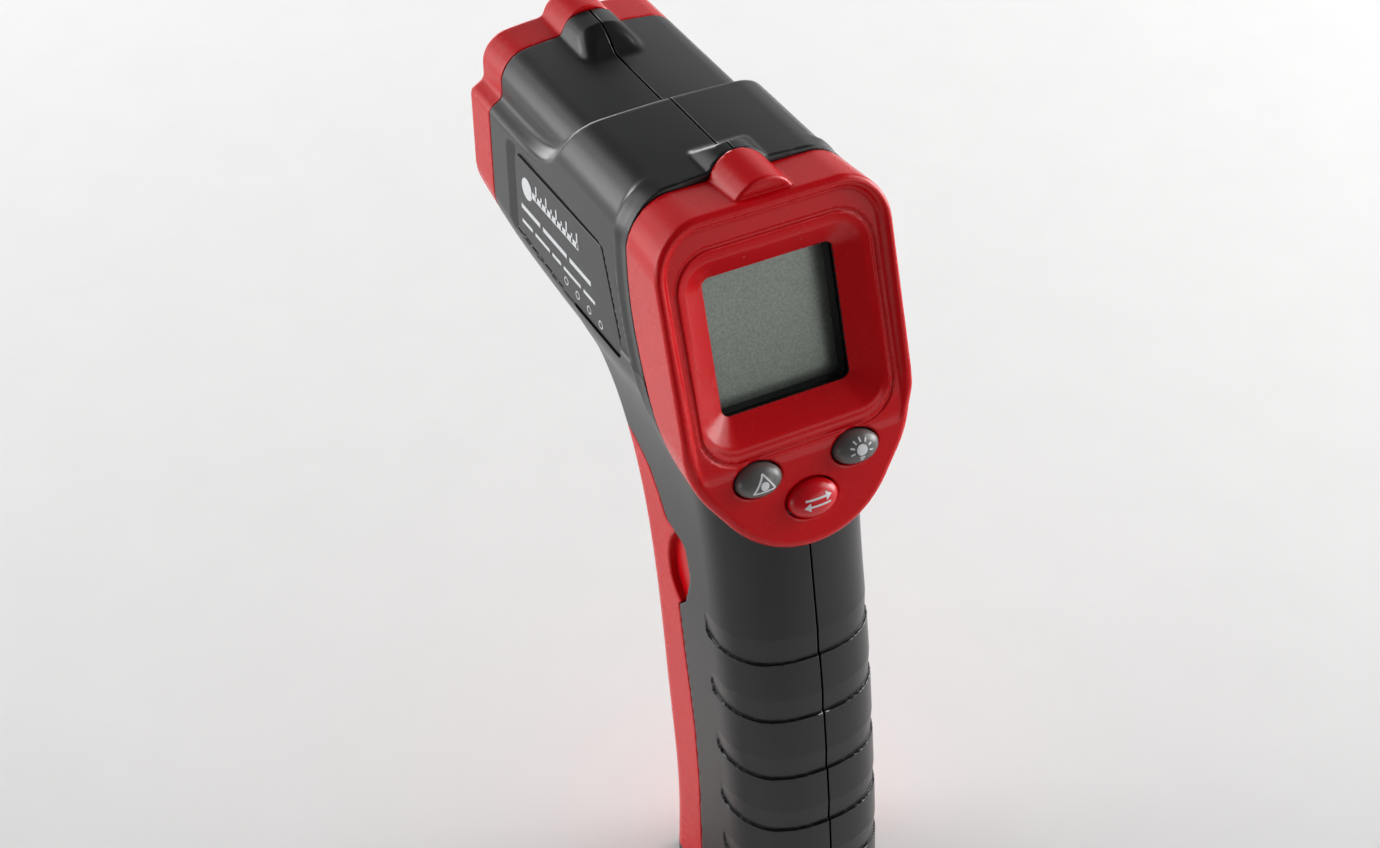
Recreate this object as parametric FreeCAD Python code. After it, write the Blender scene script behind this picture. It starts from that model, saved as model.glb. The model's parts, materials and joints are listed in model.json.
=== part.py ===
"""Pistol-grip infrared thermometer: casings, display, keys, trigger, battery door and optics.

Units are millimetres. The origin is the middle of the handle's flat foot. +Z is up and +Y runs
towards the nose, so the display faces back along -Y and X runs across. Apart from the screws,
everything is symmetrical about X = 0. The display's face leans: "face" places are (u, v, w) from
the middle of the display window, u along X, v up the face and w out of it.
"""
import FreeCAD, Part
import math
import os

V = FreeCAD.Vector

# Overall size
HEIGHT = 153.0
HALF_WIDTH = 21.5
WALL = 2.0
GAP = 0.3
RUNNING_FIT = 0.05

# Barrel
BARREL_HALF = 19.8
BARREL_TOP = 150.2
BARREL_BOTTOM = 107.1
BARREL_CORNER = 7.0
BELLY_CORNER = 10.0
BARREL_BACK = 8.0
TIER_HALF = 17.0
TIER_TOP = 148.3
TIER_START = 45.1
SHOULDER_Z = 138.2
RING_BACK = 75.5
NOSE = 84.3
NOSE_BOTTOM = 113.0

# Display face
FACE_TILT = 17.9
FACE_Y = 8.0
FACE_Z = 126.7
WINDOW_HALF = 12.1
POCKET_HALF = 16.6
LEDGE_W = 3.0
RIM_W = 4.3
PLATE_BACK_W = -1.8
LCD_FRONT_W = -4.3
LCD_BACK_W = -6.4
PCB_FRONT_W = -7.8
PCB_THICK = 1.6

# Keys
KEY_TRAVEL = 0.8
KEY_HALF_U = 4.15
KEY_HALF_V = 2.8
KEY_EDGE_W = 3.9
KEY_TOP_W = 6.2
FLANGE_MARGIN = 0.75
KEY_FLANGE_W = -2.3
KEY_BOTTOM_W = KEY_FLANGE_W - 1.0
MAT_TOP_W = KEY_BOTTOM_W - KEY_TRAVEL - GAP
MAT_THICK = 1.0
# Each key's middle on the face, and how much larger it is than the others
KEYS = {
    "laser_button": (-9.15, -22.6, 0.0),
    "light_button": (9.15, -22.6, 0.0),
    "unit_button": (0.0, -28.8, 0.45),
}

# Handle: height, back, front and half width of each section, and the rounding of its edges
HANDLE_SECTIONS = (
    (0.0, -16.5, 21.2, 14.3),
    (16.0, -15.4, 20.9, 14.3),
    (45.0, -12.2, 25.0, 14.3),
    (72.0, -7.7, 30.0, 14.3),
    (95.0, -4.0, 36.6, 14.9),
    (112.0, -1.0, 39.5, 19.0),
)
BACK_DEPTH = 9.5
FRONT_CORNER = 4.5
FLOOR = 2.4

# Battery door and its hinge
DOOR_TOP = 96.0
DOOR_HINGE = (16.0, 8.5)
DOOR_HEEL = 7.8
DOOR_TOE = 6.1
HINGE_PIN_RADIUS = 1.2
KNUCKLE_RADIUS = 2.4
KNUCKLE_HALF = 7.3
LUG_OUTSIDE = 10.0
LUG_RADIUS = 2.2
SLOT_HALF = 8.1
SLOT_BOTTOM = 62.5

# Trigger
TRIGGER_PIVOT = (36.0, 102.3)
TRIGGER_HALF = 7.5
TRIGGER_PIN_RADIUS = 1.0

# Batteries, two AAA cells side by side along the handle's lean
CELL_RADIUS = 5.2
CELL_LENGTH = 44.5
CELL_X = 5.6
CELL_FOOT = (3.2, 16.2)
CELL_LEAN = 9.2

# Optics in the nose
LENS_Z = 123.5
LASER_Z = 139.0
TUBE_RADIUS = 8.5
LASER_RADIUS = 3.5

# Casing screws: their y and z, and the x where the casing's right side is
SCREWS = ((30.0, 143.0, 19.8), (49.5, 143.0, 17.0), (49.5, 113.5, 19.8),
          (2.0, 70.0, 14.3), (-9.0, 8.0, 13.6))

FACE = FreeCAD.Placement(V(0, FACE_Y, FACE_Z), FreeCAD.Rotation(V(1, 0, 0), 90 - FACE_TILT))


# ---------------------------------------------------------------- shape helpers

def across(y, z, x=0.0):
    return V(x, y, z)


def upright(x, z, y=0.0):
    return V(x, y, z)


def flat(x, y, z=0.0):
    return V(x, y, z)


def outline(corners, place, level=0.0):
    """A closed wire through corners (a, b, radius), each rounded by its radius."""
    points = [place(a, b, level) for a, b, _ in corners]
    arcs = []
    for i, (_, _, radius) in enumerate(corners):
        here = points[i]
        back = points[i - 1] - here
        ahead = points[(i + 1) % len(points)] - here
        back.normalize()
        ahead.normalize()
        if radius == 0:
            arcs.append((here, here, None))
            continue
        half = back.getAngle(ahead) / 2
        run = radius / math.tan(half)
        inward = back + ahead
        inward.normalize()
        middle = here + inward * (radius / math.sin(half) - radius)
        arcs.append((here + back * run, here + ahead * run, middle))
    edges = []
    for i, (start, end, middle) in enumerate(arcs):
        before = arcs[i - 1][1]
        if (start - before).Length > 1e-6:
            edges.append(Part.makeLine(before, start))
        if middle is not None:
            edges.append(Part.Arc(start, middle, end).toShape())
    return Part.Wire(edges)


def mirrored(half):
    """Both halves of a symmetrical outline, from the corners on its +X side."""
    return list(half) + [(-a, b, r) for a, b, r in reversed(half)]


def side_block(corners, half):
    """An outline of (y, z) corners, solid from x = -half to half."""
    return Part.Face(outline(corners, across, -half)).extrude(V(2 * half, 0, 0))


def bar(corners, y0, y1):
    """An outline of (x, z) corners, solid from y0 to y1."""
    return Part.Face(outline(corners, upright, y0)).extrude(V(0, y1 - y0, 0))


def box(x0, x1, y0, y1, z0, z1):
    return Part.makeBox(x1 - x0, y1 - y0, z1 - z0, V(x0, y0, z0))


def cylinder(radius, start, end):
    run = V(*end) - V(*start)
    return Part.makeCylinder(radius, run.Length, V(*start), run)


def on_face(shape):
    """Moves a shape drawn in (u, v, w) onto the leaning display face."""
    placed = shape.copy()
    placed.Placement = FACE.multiply(placed.Placement)
    return placed


def face_block(corners, w0, w1):
    return on_face(Part.Face(outline(corners, flat, w0)).extrude(V(0, 0, w1 - w0)))


def square(half, radius):
    return [(half, half, radius), (half, -half, radius), (-half, -half, radius), (-half, half, radius)]


def along_handle(shape):
    """Moves a shape drawn upright at the cells' foot onto the handle's lean."""
    placed = shape.copy()
    lean = FreeCAD.Rotation(V(1, 0, 0), -CELL_LEAN)
    placed.Placement = FreeCAD.Placement(V(0, *CELL_FOOT), lean).multiply(placed.Placement)
    return placed


def joined(shapes):
    return shapes[0].multiFuse(shapes[1:]).removeSplitter()


def smooth(points):
    curve = Part.BSplineCurve()
    curve.interpolate(points)
    return curve.toShape()


# ---------------------------------------------------------------- outer forms

def barrel_outline(inset=0.0):
    side = BARREL_HALF - inset
    return mirrored([(side, BARREL_TOP - inset, BARREL_CORNER - inset),
                     (side, BARREL_BOTTOM + inset, BELLY_CORNER - inset)])


def tier_outline(inset=0.0):
    side = TIER_HALF - inset
    return mirrored([(side, TIER_TOP - inset, 5.0 - inset), (side, SHOULDER_Z - 20, 0)])


def nose_chin(inset=0.0):
    """What the rising underside takes off below the nose."""
    low = BARREL_BOTTOM + inset
    return side_block([(66, low, 0), (NOSE, NOSE_BOTTOM + inset, 0), (NOSE + 5, NOSE_BOTTOM + inset, 0),
                       (NOSE + 5, low - 10, 0), (66, low - 10, 0)], 30)


def barrel_form(y0, y1, inset=0.0):
    """The barrel: full section at the back, a narrower lower tier on a shoulder in front."""
    full = bar(barrel_outline(inset), y0, y1)
    start = TIER_START - inset
    shoulder = SHOULDER_Z - inset
    step = side_block([(start, 160, 0), (start, 146, 6), (start + 12, shoulder, 9),
                       (95, shoulder, 0), (95, 160, 0)], 30)
    ahead = step.cut(bar(tier_outline(inset), 30, 96))
    return full.cut(ahead).cut(nose_chin(inset))


def arch(y0, y1, half, top):
    """A sight rib with a round top."""
    return bar(mirrored([(half - 0.5, top, half - 1.4), (half, TIER_TOP - 6, 0)]), y0, y1)


def handle_section(z, back, front, half, inset):
    """Half an ellipse at the back, straight sides and rounded front corners."""
    back = back + inset
    front = front - inset
    half = half - inset
    depth = BACK_DEPTH - inset
    radius = FRONT_CORNER - inset
    middle = back + depth
    bend = radius * (1 - math.sqrt(0.5))
    ellipse = Part.Ellipse(V(half, middle, z), V(0, middle + depth, z), V(0, middle, z))
    return Part.Wire([
        Part.Arc(ellipse, math.pi, 2 * math.pi).toShape(),
        Part.makeLine(V(half, middle, z), V(half, front - radius, z)),
        Part.Arc(V(half, front - radius, z), V(half - bend, front - bend, z),
                 V(half - radius, front, z)).toShape(),
        Part.makeLine(V(half - radius, front, z), V(radius - half, front, z)),
        Part.Arc(V(radius - half, front, z), V(bend - half, front - bend, z),
                 V(-half, front - radius, z)).toShape(),
        Part.makeLine(V(-half, front - radius, z), V(-half, middle, z)),
    ])


def handle_form(inset=0.0):
    return Part.makeLoft([handle_section(*section, inset) for section in HANDLE_SECTIONS], True)


def face_outline(inset=0.0):
    """The display housing from behind: square shoulders above, a rounded shield below."""
    side = HALF_WIDTH - inset
    slope = 0.62 * inset
    return mirrored([(side, BARREL_TOP - inset, 9.0 - inset), (side, 107.75 + slope * 0.3, 17.8 - inset),
                     (9.3 - slope, 91.7 + inset, 18.6 - inset)])


def housing_zone(offset=0.0):
    """Everything behind the seam where the display housing meets the casings."""
    places = ((23.0, 156), (20.6, 137), (12.9, 115.5), (-0.5, 101.5), (-5.2, 91))
    seam = smooth([across(y + offset, z) for y, z in places])
    start, end = V(0, 23.0 + offset, 156), V(0, -5.2 + offset, 91)
    edges = [seam, Part.makeLine(end, V(0, -40, 91)), Part.makeLine(V(0, -40, 91), V(0, -40, 156)),
             Part.makeLine(V(0, -40, 156), start)]
    face = Part.Face(Part.Wire(edges))
    face.translate(V(-30, 0, 0))
    return face.extrude(V(60, 0, 0))


def door_zone(gap=0.0):
    """Everything in front of the battery door's seam, with the finger notches at its sides."""
    hy, hz = DOOR_HINGE
    heel = DOOR_HEEL - gap
    toe = DOOR_TOE - gap
    base = hz - toe
    heel_y = hy - math.sqrt(heel ** 2 - toe ** 2)
    bend = 0.5 * math.asin(toe / heel)
    low = Part.Arc(across(heel_y, base), across(hy - heel * math.cos(bend), hz - heel * math.sin(bend)),
                   across(hy - heel, hz)).toShape()
    lip = across(hy + toe * math.sin(1.05), hz - toe * math.cos(1.05))
    below = across(hy + toe * math.sin(0.5), hz - toe * math.cos(0.5))
    front = Part.Arc(lip, below, across(hy, base)).toShape()
    seam = smooth([across(y + gap, z) for y, z in ((hy - DOOR_HEEL, hz), (10.6, 40), (16.0, 66.4))])
    notch = Part.Arc(across(16.0 + gap, 66.4), across(12.2 + gap, 75.6), across(20.0 + gap, 82.9)).toShape()
    horn = Part.Arc(across(20.0 + gap, 82.9), across(24.6 + gap, 89.6), across(38 + gap, DOOR_TOP)).toShape()
    edges = [low, seam, notch, horn,
             Part.makeLine(across(38 + gap, DOOR_TOP), across(70, DOOR_TOP)),
             Part.makeLine(across(70, DOOR_TOP), across(70, lip.z)),
             Part.makeLine(across(70, lip.z), lip), front,
             Part.makeLine(across(hy, base), across(heel_y, base))]
    face = Part.Face(Part.Wire(edges))
    face.translate(V(-30, 0, 0))
    return face.extrude(V(60, 0, 0))


def finger_notches():
    """The sunk pads in the door's sides, one at each notch."""
    pads = []
    for side in (-1, 1):
        pads.append(box(min(side * 12.9, side * 20), max(side * 12.9, side * 20), 5, 19.5, 66, 84))
    return pads


def label_recess(side, x0, x1):
    """The sunk label panel on one side of the barrel."""
    corners = [(67, 135.2, 1.5), (31.4, 135.2, 1.5), (23.6, 116.3, 1.5), (67, 119.5, 1.5)]
    low, high = sorted((side * x0, side * x1))
    return Part.Face(outline(corners, across, low)).extrude(V(high - low, 0, 0))


# ---------------------------------------------------------------- casings

def casing_outer():
    collar = bar(face_outline(), -20, 60).common(housing_zone(3.5))
    front_sight = arch(60, RING_BACK, 5.4, 152.7).common(
        side_block([(64.4, 147, 0), (64.4, 148.4, 0), (70.5, 152.7, 1.0), (90, 152.7, 0), (90, 147, 0)], 10))
    rear_sight = arch(18, 40, 6.4, HEIGHT).common(
        side_block([(10, 147, 0), (10, HEIGHT, 0), (24.8, HEIGHT, 1.0), (29.0, 150.0, 0), (30, 147, 0)], 10))
    return joined([barrel_form(BARREL_BACK, RING_BACK), handle_form(), collar, front_sight, rear_sight])


def casing_cavity():
    barrel = barrel_form(-10, RING_BACK + 1, WALL)
    handle = handle_form(WALL).cut(box(-30, 30, -40, 60, -1, FLOOR))
    housing = bar(face_outline(WALL), -20, 60).common(housing_zone(3.5 - WALL))
    return joined([barrel, handle, housing])


def trigger_slot():
    return box(-SLOT_HALF, SLOT_HALF, 24, 54, SLOT_BOTTOM, 108.5)


def screw_bosses(outer):
    """The posts that the casing screws run through."""
    posts = [cylinder(2.8, (-20, y, z), (20, y, z)) for y, z, _ in SCREWS]
    return Part.makeCompound(posts).common(outer)


def screw_bores():
    bores = []
    for y, z, x in SCREWS:
        bores.append(cylinder(1.1, (-9, y, z), (x, y, z)))
        bores.append(cylinder(2.4, (x - 3.4, y, z), (x + 8, y, z)))
    return bores


def trigger_bosses():
    py, pz = TRIGGER_PIVOT
    ends = [cylinder(2.6, (side * 8.0, py, pz), (side * 17, py, pz)) for side in (-1, 1)]
    return joined(ends)


def hinge_lugs():
    """Cranked lugs that rise from the foot behind the door and hold its hinge pin."""
    hy, hz = DOOR_HINGE
    radius = LUG_RADIUS
    crank = [(hy, hz + radius, 0), (hy - 8.2, hz + radius, 0), (hy - 8.2, FLOOR - 0.4, 0),
             (hy - 6.0, FLOOR - 0.4, 0), (hy - 6.0, hz - radius, 0), (hy, hz - radius, 0)]
    lugs = []
    for side in (-1, 1):
        low, high = sorted((side * (KNUCKLE_HALF + GAP), side * LUG_OUTSIDE))
        arm = Part.Face(outline(crank, across, low)).extrude(V(high - low, 0, 0))
        lugs.append(arm.fuse(cylinder(radius, (low, hy, hz), (high, hy, hz))))
    return lugs


def spring_rib():
    """The rib across the handle that the trigger spring pushes against."""
    wide = box(-14.4, 14.4, 20.0, 22.0, 86.6, 93).common(handle_form(0.5))
    return wide.fuse(box(-10.5, 10.5, 20.0, 22.0, 80, 93))


def key_wells():
    """The room behind the display housing that the keys' flanges move in."""
    return [on_face(oval(u, v, grow + FLANGE_MARGIN + 0.5, -6.5, 2)) for u, v, grow in KEYS.values()]


def casing_whole():
    outer = casing_outer()
    shell = outer.cut(casing_cavity())
    shell = joined([shell, screw_bosses(outer), trigger_bosses().common(outer)])
    shell = shell.cut(housing_zone())
    shell = shell.cut(door_zone()).cut(trigger_slot())
    extras = hinge_lugs() + [spring_rib()]
    shell = joined([shell] + extras)
    hy, hz = DOOR_HINGE
    py, pz = TRIGGER_PIVOT
    bores = screw_bores()
    bores.append(cylinder(HINGE_PIN_RADIUS, (-12, hy, hz), (12, hy, hz)))
    bores.append(cylinder(TRIGGER_PIN_RADIUS, (-11, py, pz), (11, py, pz)))
    bores.append(box(-11.9, 11.9, -6, 19.9, 12.5, 64).common(side_block(
        [(-9.5, 12.5, 0), (20, 12.5, 0), (20, 64, 0), (-2, 64, 0)], 20)))
    shell = shell.cut(joined(bores + key_wells()))
    labels = [label_recess(side, BARREL_HALF - 0.5, BARREL_HALF + 5) for side in (-1, 1)]
    return shell.cut(Part.makeCompound(labels))


def biggest(shape):
    return max(shape.Solids, key=lambda solid: solid.Volume)


def casing_halves():
    whole = casing_whole()
    left = biggest(whole.common(box(-40, 0, -60, 120, -10, 180)))
    right = biggest(whole.common(box(0, 40, -60, 120, -10, 180)))
    return left, right


def nose_outline(inset=0.0):
    """The nose ring: a lobe over two tiers, square on to the barrel."""
    low = NOSE_BOTTOM - 2.8 + inset
    return mirrored([
        (5.0 - inset, 152.7 - inset, 3.6 - inset),
        (6.2 - inset, 147.9 - inset, 0.5),
        (TIER_HALF - inset, 147.9 - inset, 5.2 - inset),
        (TIER_HALF - inset + 0.2, SHOULDER_Z + 1.6 - inset, 0.6),
        (BARREL_HALF - inset, SHOULDER_Z - 0.4 - inset, 2.2),
        (BARREL_HALF - inset, low, BELLY_CORNER - inset),
    ])


def nose_ring():
    ring = bar(nose_outline(), RING_BACK, NOSE).cut(bar(nose_outline(2.4), RING_BACK - 1, NOSE + 1))
    return ring.cut(nose_chin())


def nose_plate():
    """The black front wall, with the sensor's and the laser's openings."""
    plate = bar(nose_outline(2.4), 79.6, 82.0).cut(nose_chin(2.4))
    return plate.cut(Part.makeCompound([
        cylinder(6.3, (0, 70, LENS_Z), (0, 90, LENS_Z)),
        cylinder(2.3, (0, 70, LASER_Z), (0, 90, LASER_Z))]))


def label_panel(side):
    return label_recess(side, BARREL_HALF - 0.5, BARREL_HALF - 0.1)


# ---------------------------------------------------------------- display housing

def display_bezel():
    rim = on_face(side_block([(45, RIM_W, 0), (-12, RIM_W, 3), (-19, LEDGE_W, 4), (-60, LEDGE_W, 0),
                              (-60, -45, 0), (45, -45, 0)], 30))
    body = bar(face_outline(), -30, 40).common(rim).common(housing_zone())
    rib = arch(12.6, 40, 5.2, HEIGHT).common(housing_zone()).cut(box(-30, 30, -20, 60, 100, 149))
    body = body.fuse(rib)
    hollow = bar(face_outline(WALL), -30, 40).cut(face_block(square(60, 0), PLATE_BACK_W, 60))
    ledge = face_block([(19.7, 19.9, 6), (19.7, -30, 0), (-19.7, -30, 0), (-19.7, 19.9, 6)], LEDGE_W, 12)
    pocket = on_face(Part.makeLoft([outline(square(POCKET_HALF, 5), flat, LEDGE_W),
                                    outline(square(WINDOW_HALF, 1.5), flat, 0.0)], True, True))
    opening = face_block(square(WINDOW_HALF, 1.5), -10, 0.01)
    rebate = face_block(square(13.2, 0), -10, -0.6)
    keys = [on_face(oval(u, v, grow + GAP, -20, 20)) for u, v, grow in KEYS.values()]
    bosses = [on_face(cylinder(1.7, (u, v, PCB_FRONT_W), (u, v, -1.0))) for u, v in board_screw_places()]
    body = body.cut(hollow)
    body = joined([body] + bosses)
    holes = [on_face(cylinder(0.8, (u, v, -12), (u, v, -2.5))) for u, v in board_screw_places()]
    return biggest(body.cut(Part.makeCompound([ledge, pocket, opening, rebate] + keys + holes)))


def oval(u, v, grow, w0, w1):
    """A key's oval plan, grown by a margin, from w0 to w1."""
    ellipse = Part.Ellipse(V(u, v, w0), KEY_HALF_U + grow, KEY_HALF_V + grow)
    return Part.Face(Part.Wire(ellipse.toShape())).extrude(V(0, 0, w1 - w0))


def key(u, v, grow):
    """A domed oval key cap on a flange that keeps it in."""
    rise = KEY_TOP_W - KEY_EDGE_W
    foot = (KEY_FLANGE_W - KEY_EDGE_W) / rise
    slant = math.sqrt(0.5)
    dome = Part.Arc(V(1, 0, 0), V(slant, 0, slant), V(0, 0, 1)).toShape()
    sides = Part.makePolygon([V(0, 0, 1), V(0, 0, foot), V(1, 0, foot), V(1, 0, 0)])
    profile = Part.Face(Part.Wire([dome] + sides.Edges))
    cap = profile.revolve(V(0, 0, 0), V(0, 0, 1), 360)
    stretch = FreeCAD.Matrix()
    stretch.scale(KEY_HALF_U + grow, KEY_HALF_V + grow, rise)
    cap = cap.transformGeometry(stretch)
    cap.translate(V(u, v, KEY_EDGE_W))
    flange = oval(u, v, grow + FLANGE_MARGIN, KEY_BOTTOM_W, KEY_FLANGE_W)
    return on_face(cap.fuse(flange).removeSplitter())


def lcd_window():
    return face_block(square(13.1, 0), -1.7, -0.6)


def display_spacer():
    """The dark frame that holds the display panel back from the window."""
    frame = face_block(square(13.1, 0), LCD_FRONT_W, PLATE_BACK_W)
    return frame.cut(face_block(square(WINDOW_HALF, 1.5), LCD_FRONT_W - 1, PLATE_BACK_W + 1))


def lcd_panel():
    corners = [(13.5, 13.4, 0), (13.5, -13.4, 0), (-13.5, -13.4, 0), (-13.5, 13.4, 0)]
    return face_block(corners, LCD_BACK_W, LCD_FRONT_W)


def backlight():
    return face_block(square(13.0, 0), PCB_FRONT_W, LCD_BACK_W)


def board_screw_places():
    return [(u, v) for u in (-10.2, 10.2) for v in (-15.4, 15.4)]


def main_board():
    top = 17.5
    low = -29.0
    back = PCB_FRONT_W - PCB_THICK
    board = face_block([(12, top, 1), (12, low, 1), (-12, low, 1), (-12, top, 1)], back, PCB_FRONT_W)
    holes = [on_face(cylinder(0.8, (u, v, -20), (u, v, 0))) for u, v in board_screw_places()]
    return board.cut(Part.makeCompound(holes))


def board_screws():
    back = PCB_FRONT_W - PCB_THICK
    screws = []
    for u, v in board_screw_places():
        shank = cylinder(0.8, (u, v, back), (u, v, -3.0))
        head = cylinder(1.6, (u, v, back - 1.1), (u, v, back))
        screws.append(on_face(shank.fuse(head)))
    return Part.makeCompound(screws)


def tact_switches():
    half = 2.4
    top = MAT_TOP_W - MAT_THICK
    switches = []
    for u, v, grow in KEYS.values():
        base = [(u + half, v + half, 0), (u + half, v - half, 0),
                (u - half, v - half, 0), (u - half, v + half, 0)]
        switches.append(face_block(base, PCB_FRONT_W, top))
    return Part.makeCompound(switches)


def keypad_mat():
    low = MAT_TOP_W - MAT_THICK
    places = [(u, v) for u, v, grow in KEYS.values()]
    discs = [cylinder(5.0, (u, v, low), (u, v, MAT_TOP_W)) for u, v in places]
    edge = Part.makePolygon([V(u, v, low) for u, v in places + places[:1]])
    web = Part.Face(edge).extrude(V(0, 0, MAT_THICK))
    return on_face(joined(discs + [web]))


def controller_chip():
    back = PCB_FRONT_W - PCB_THICK
    return face_block([(3.6, -5, 0), (3.6, -12.2, 0), (-3.6, -12.2, 0), (-3.6, -5, 0)], back - 1.2, back)


def buzzer():
    back = PCB_FRONT_W - PCB_THICK
    can = cylinder(4.8, (0, 6, back - 4), (0, 6, back))
    return on_face(can.cut(cylinder(0.8, (0, 6, back - 5), (0, 6, back - 3))))


# ---------------------------------------------------------------- trigger

def trigger():
    py, pz = TRIGGER_PIVOT
    blade = side_block([(py - 3.2, pz + 3.2, 3), (46.0, pz + 3.4, 1.5), (44.5, 96, 5), (38.5, 84, 14),
                        (38.0, 67.0, 3), (32.0, 66.0, 1.5), (31.5, 82, 0), (py - 3.2, 94, 0)], TRIGGER_HALF)
    seat = cylinder(3.1, (0, 20, 86.5), (0, 33.6, 86.5))
    bore = cylinder(TRIGGER_PIN_RADIUS + RUNNING_FIT, (-10, py, pz), (10, py, pz))
    return blade.cut(seat).cut(bore)


def trigger_pin():
    py, pz = TRIGGER_PIVOT
    return cylinder(TRIGGER_PIN_RADIUS, (-11, py, pz), (11, py, pz))


def coil(radius, wire, start, length, turns):
    """A coil spring standing on start, wound about +Z."""
    helix = Part.makeHelix(length / turns, length, radius)
    ring = Part.Wire(Part.makeCircle(wire, V(radius, 0, 0), V(0, 1, 0)))
    spring = Part.Wire(helix.Edges).makePipeShell([ring], True, True)
    spring.translate(V(*start))
    return spring


def trigger_spring():
    spring = coil(2.5, 0.25, (0, 0, 0.3), 10.9, 6)
    laid = FreeCAD.Placement(V(0, 22.0, 86.5), FreeCAD.Rotation(V(1, 0, 0), -90))
    spring.Placement = laid.multiply(spring.Placement)
    return spring


def trigger_switch():
    body = box(-3.2, 3.2, 17.0, 23.2, 94.5, 101)
    return body.fuse(cylinder(0.8, (0, 23.2, 97.5), (0, 24.4, 97.5)))


# ---------------------------------------------------------------- battery bay

def battery_door():
    hy, hz = DOOR_HINGE
    skin = handle_form().common(door_zone(GAP)).cut(handle_form(WALL))
    skin = skin.cut(Part.makeCompound(finger_notches()))
    pads = []
    for side in (-1, 1):
        low, high = sorted((side * 11.4, side * 12.9))
        pads.append(box(low, high, 5, 22, 66, 84).common(door_zone(GAP)))
    knuckle = cylinder(KNUCKLE_RADIUS, (-KNUCKLE_HALF, hy, hz), (KNUCKLE_HALF, hy, hz))
    web = box(-KNUCKLE_HALF, KNUCKLE_HALF, hy, 20.5, hz - 2.0, hz + 2.0).common(handle_form(0.6))
    door = joined([skin, knuckle, web] + pads)
    door = door.cut(box(-SLOT_HALF, SLOT_HALF, 20, 60, SLOT_BOTTOM, 120))
    return biggest(door.cut(cylinder(HINGE_PIN_RADIUS + RUNNING_FIT, (-12, hy, hz), (12, hy, hz))))


def door_hinge_pin():
    hy, hz = DOOR_HINGE
    return cylinder(HINGE_PIN_RADIUS, (-LUG_OUTSIDE, hy, hz), (LUG_OUTSIDE, hy, hz))


def cell(x):
    """An AAA cell with its raised positive button; the cells stand opposite ways up."""
    body = cylinder(CELL_RADIUS, (x, 0, 0), (x, 0, CELL_LENGTH - 1.0))
    body = body.fuse(cylinder(1.9, (x, 0, CELL_LENGTH - 1.0), (x, 0, CELL_LENGTH)))
    if x > 0:
        body.rotate(V(x, 0, CELL_LENGTH / 2), V(0, 1, 0), 180)
    return along_handle(body)


def battery_tray():
    back = box(-11.6, 11.6, -6.8, -5.5, -3.6, CELL_LENGTH + 2.2)
    foot = box(-11.6, 11.6, -6.8, 4.4, -4.8, -3.4)
    head = box(-11.6, 11.6, -6.8, 4.4, CELL_LENGTH + 0.9, CELL_LENGTH + 2.2)
    rib = box(-0.3, 0.3, -5.5, 1.0, -3.4, CELL_LENGTH + 0.9)
    return along_handle(joined([back, foot, head, rib]))


def contact_springs():
    """Folded leaf contacts under the cells' lower ends."""
    leaf = [(-3.2, -3.3, 0), (3.2, -3.3, 0), (3.2, -2.95, 0), (-2.3, -2.95, 0), (0.5, -0.75, 0),
            (2.5, -2.0, 0), (2.7, -1.75, 0), (0.5, -0.3, 0.3), (-3.2, -3.1, 0)]
    leaves = []
    for side in (-1, 1):
        face = Part.Face(outline(leaf, across, side * CELL_X - 2.2))
        leaves.append(along_handle(face.extrude(V(4.4, 0, 0))))
    return Part.makeCompound(leaves)


def contact_plates():
    top = CELL_LENGTH + 0.5
    plates = [box(side * CELL_X - 3.5, side * CELL_X + 3.5, -3.5, 3.5, top, top + 0.4) for side in (-1, 1)]
    return Part.makeCompound([along_handle(plate) for plate in plates])


# ---------------------------------------------------------------- optics

def sensor_tube():
    outer = cylinder(TUBE_RADIUS, (0, 60, LENS_Z), (0, 79.5, LENS_Z))
    bore = cylinder(5.6, (0, 59, LENS_Z), (0, 90, LENS_Z))
    seat = cylinder(6.3, (0, 76.2, LENS_Z), (0, 90, LENS_Z))
    return outer.cut(bore).cut(seat)


def infrared_lens():
    return cylinder(6.2, (0, 76.3, LENS_Z), (0, 77.6, LENS_Z))


def thermopile():
    can = cylinder(4.1, (0, 57.2, LENS_Z), (0, 60.6, LENS_Z))
    flange = cylinder(4.7, (0, 56.4, LENS_Z), (0, 57.2, LENS_Z))
    return can.fuse(flange).removeSplitter()


def sensor_board():
    return box(-9, 9, 54.8, 56.4, LENS_Z - 7, LENS_Z + 7)


def optics_bracket():
    plate = bar(mirrored([(14.6, 144.5, 3), (14.6, LENS_Z - 9.8, 3)]), 63, 66)
    return plate.cut(Part.makeCompound([
        cylinder(TUBE_RADIUS, (0, 50, LENS_Z), (0, 90, LENS_Z)),
        cylinder(LASER_RADIUS, (0, 50, LASER_Z), (0, 90, LASER_Z))]))


def laser_module():
    return cylinder(LASER_RADIUS, (0, 60, LASER_Z), (0, 77, LASER_Z)).cut(
        cylinder(1.2, (0, 76, LASER_Z), (0, 78, LASER_Z)))


def laser_window():
    return cylinder(2.2, (0, 80.2, LASER_Z), (0, 81.6, LASER_Z))


def casing_screws():
    screws = []
    for y, z, x in SCREWS:
        shank = cylinder(1.1, (-8.5, y, z), (x - 3.4, y, z))
        head = cylinder(2.2, (x - 3.4, y, z), (x - 1.6, y, z))
        cross = box(x - 2.4, x, y - 1.3, y + 1.3, z - 0.3, z + 0.3).fuse(
            box(x - 2.4, x, y - 0.3, y + 0.3, z - 1.3, z + 1.3))
        screws.append(shank.fuse(head).cut(cross))
    return Part.makeCompound(screws)


# ---------------------------------------------------------------- writing the nodes

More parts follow.
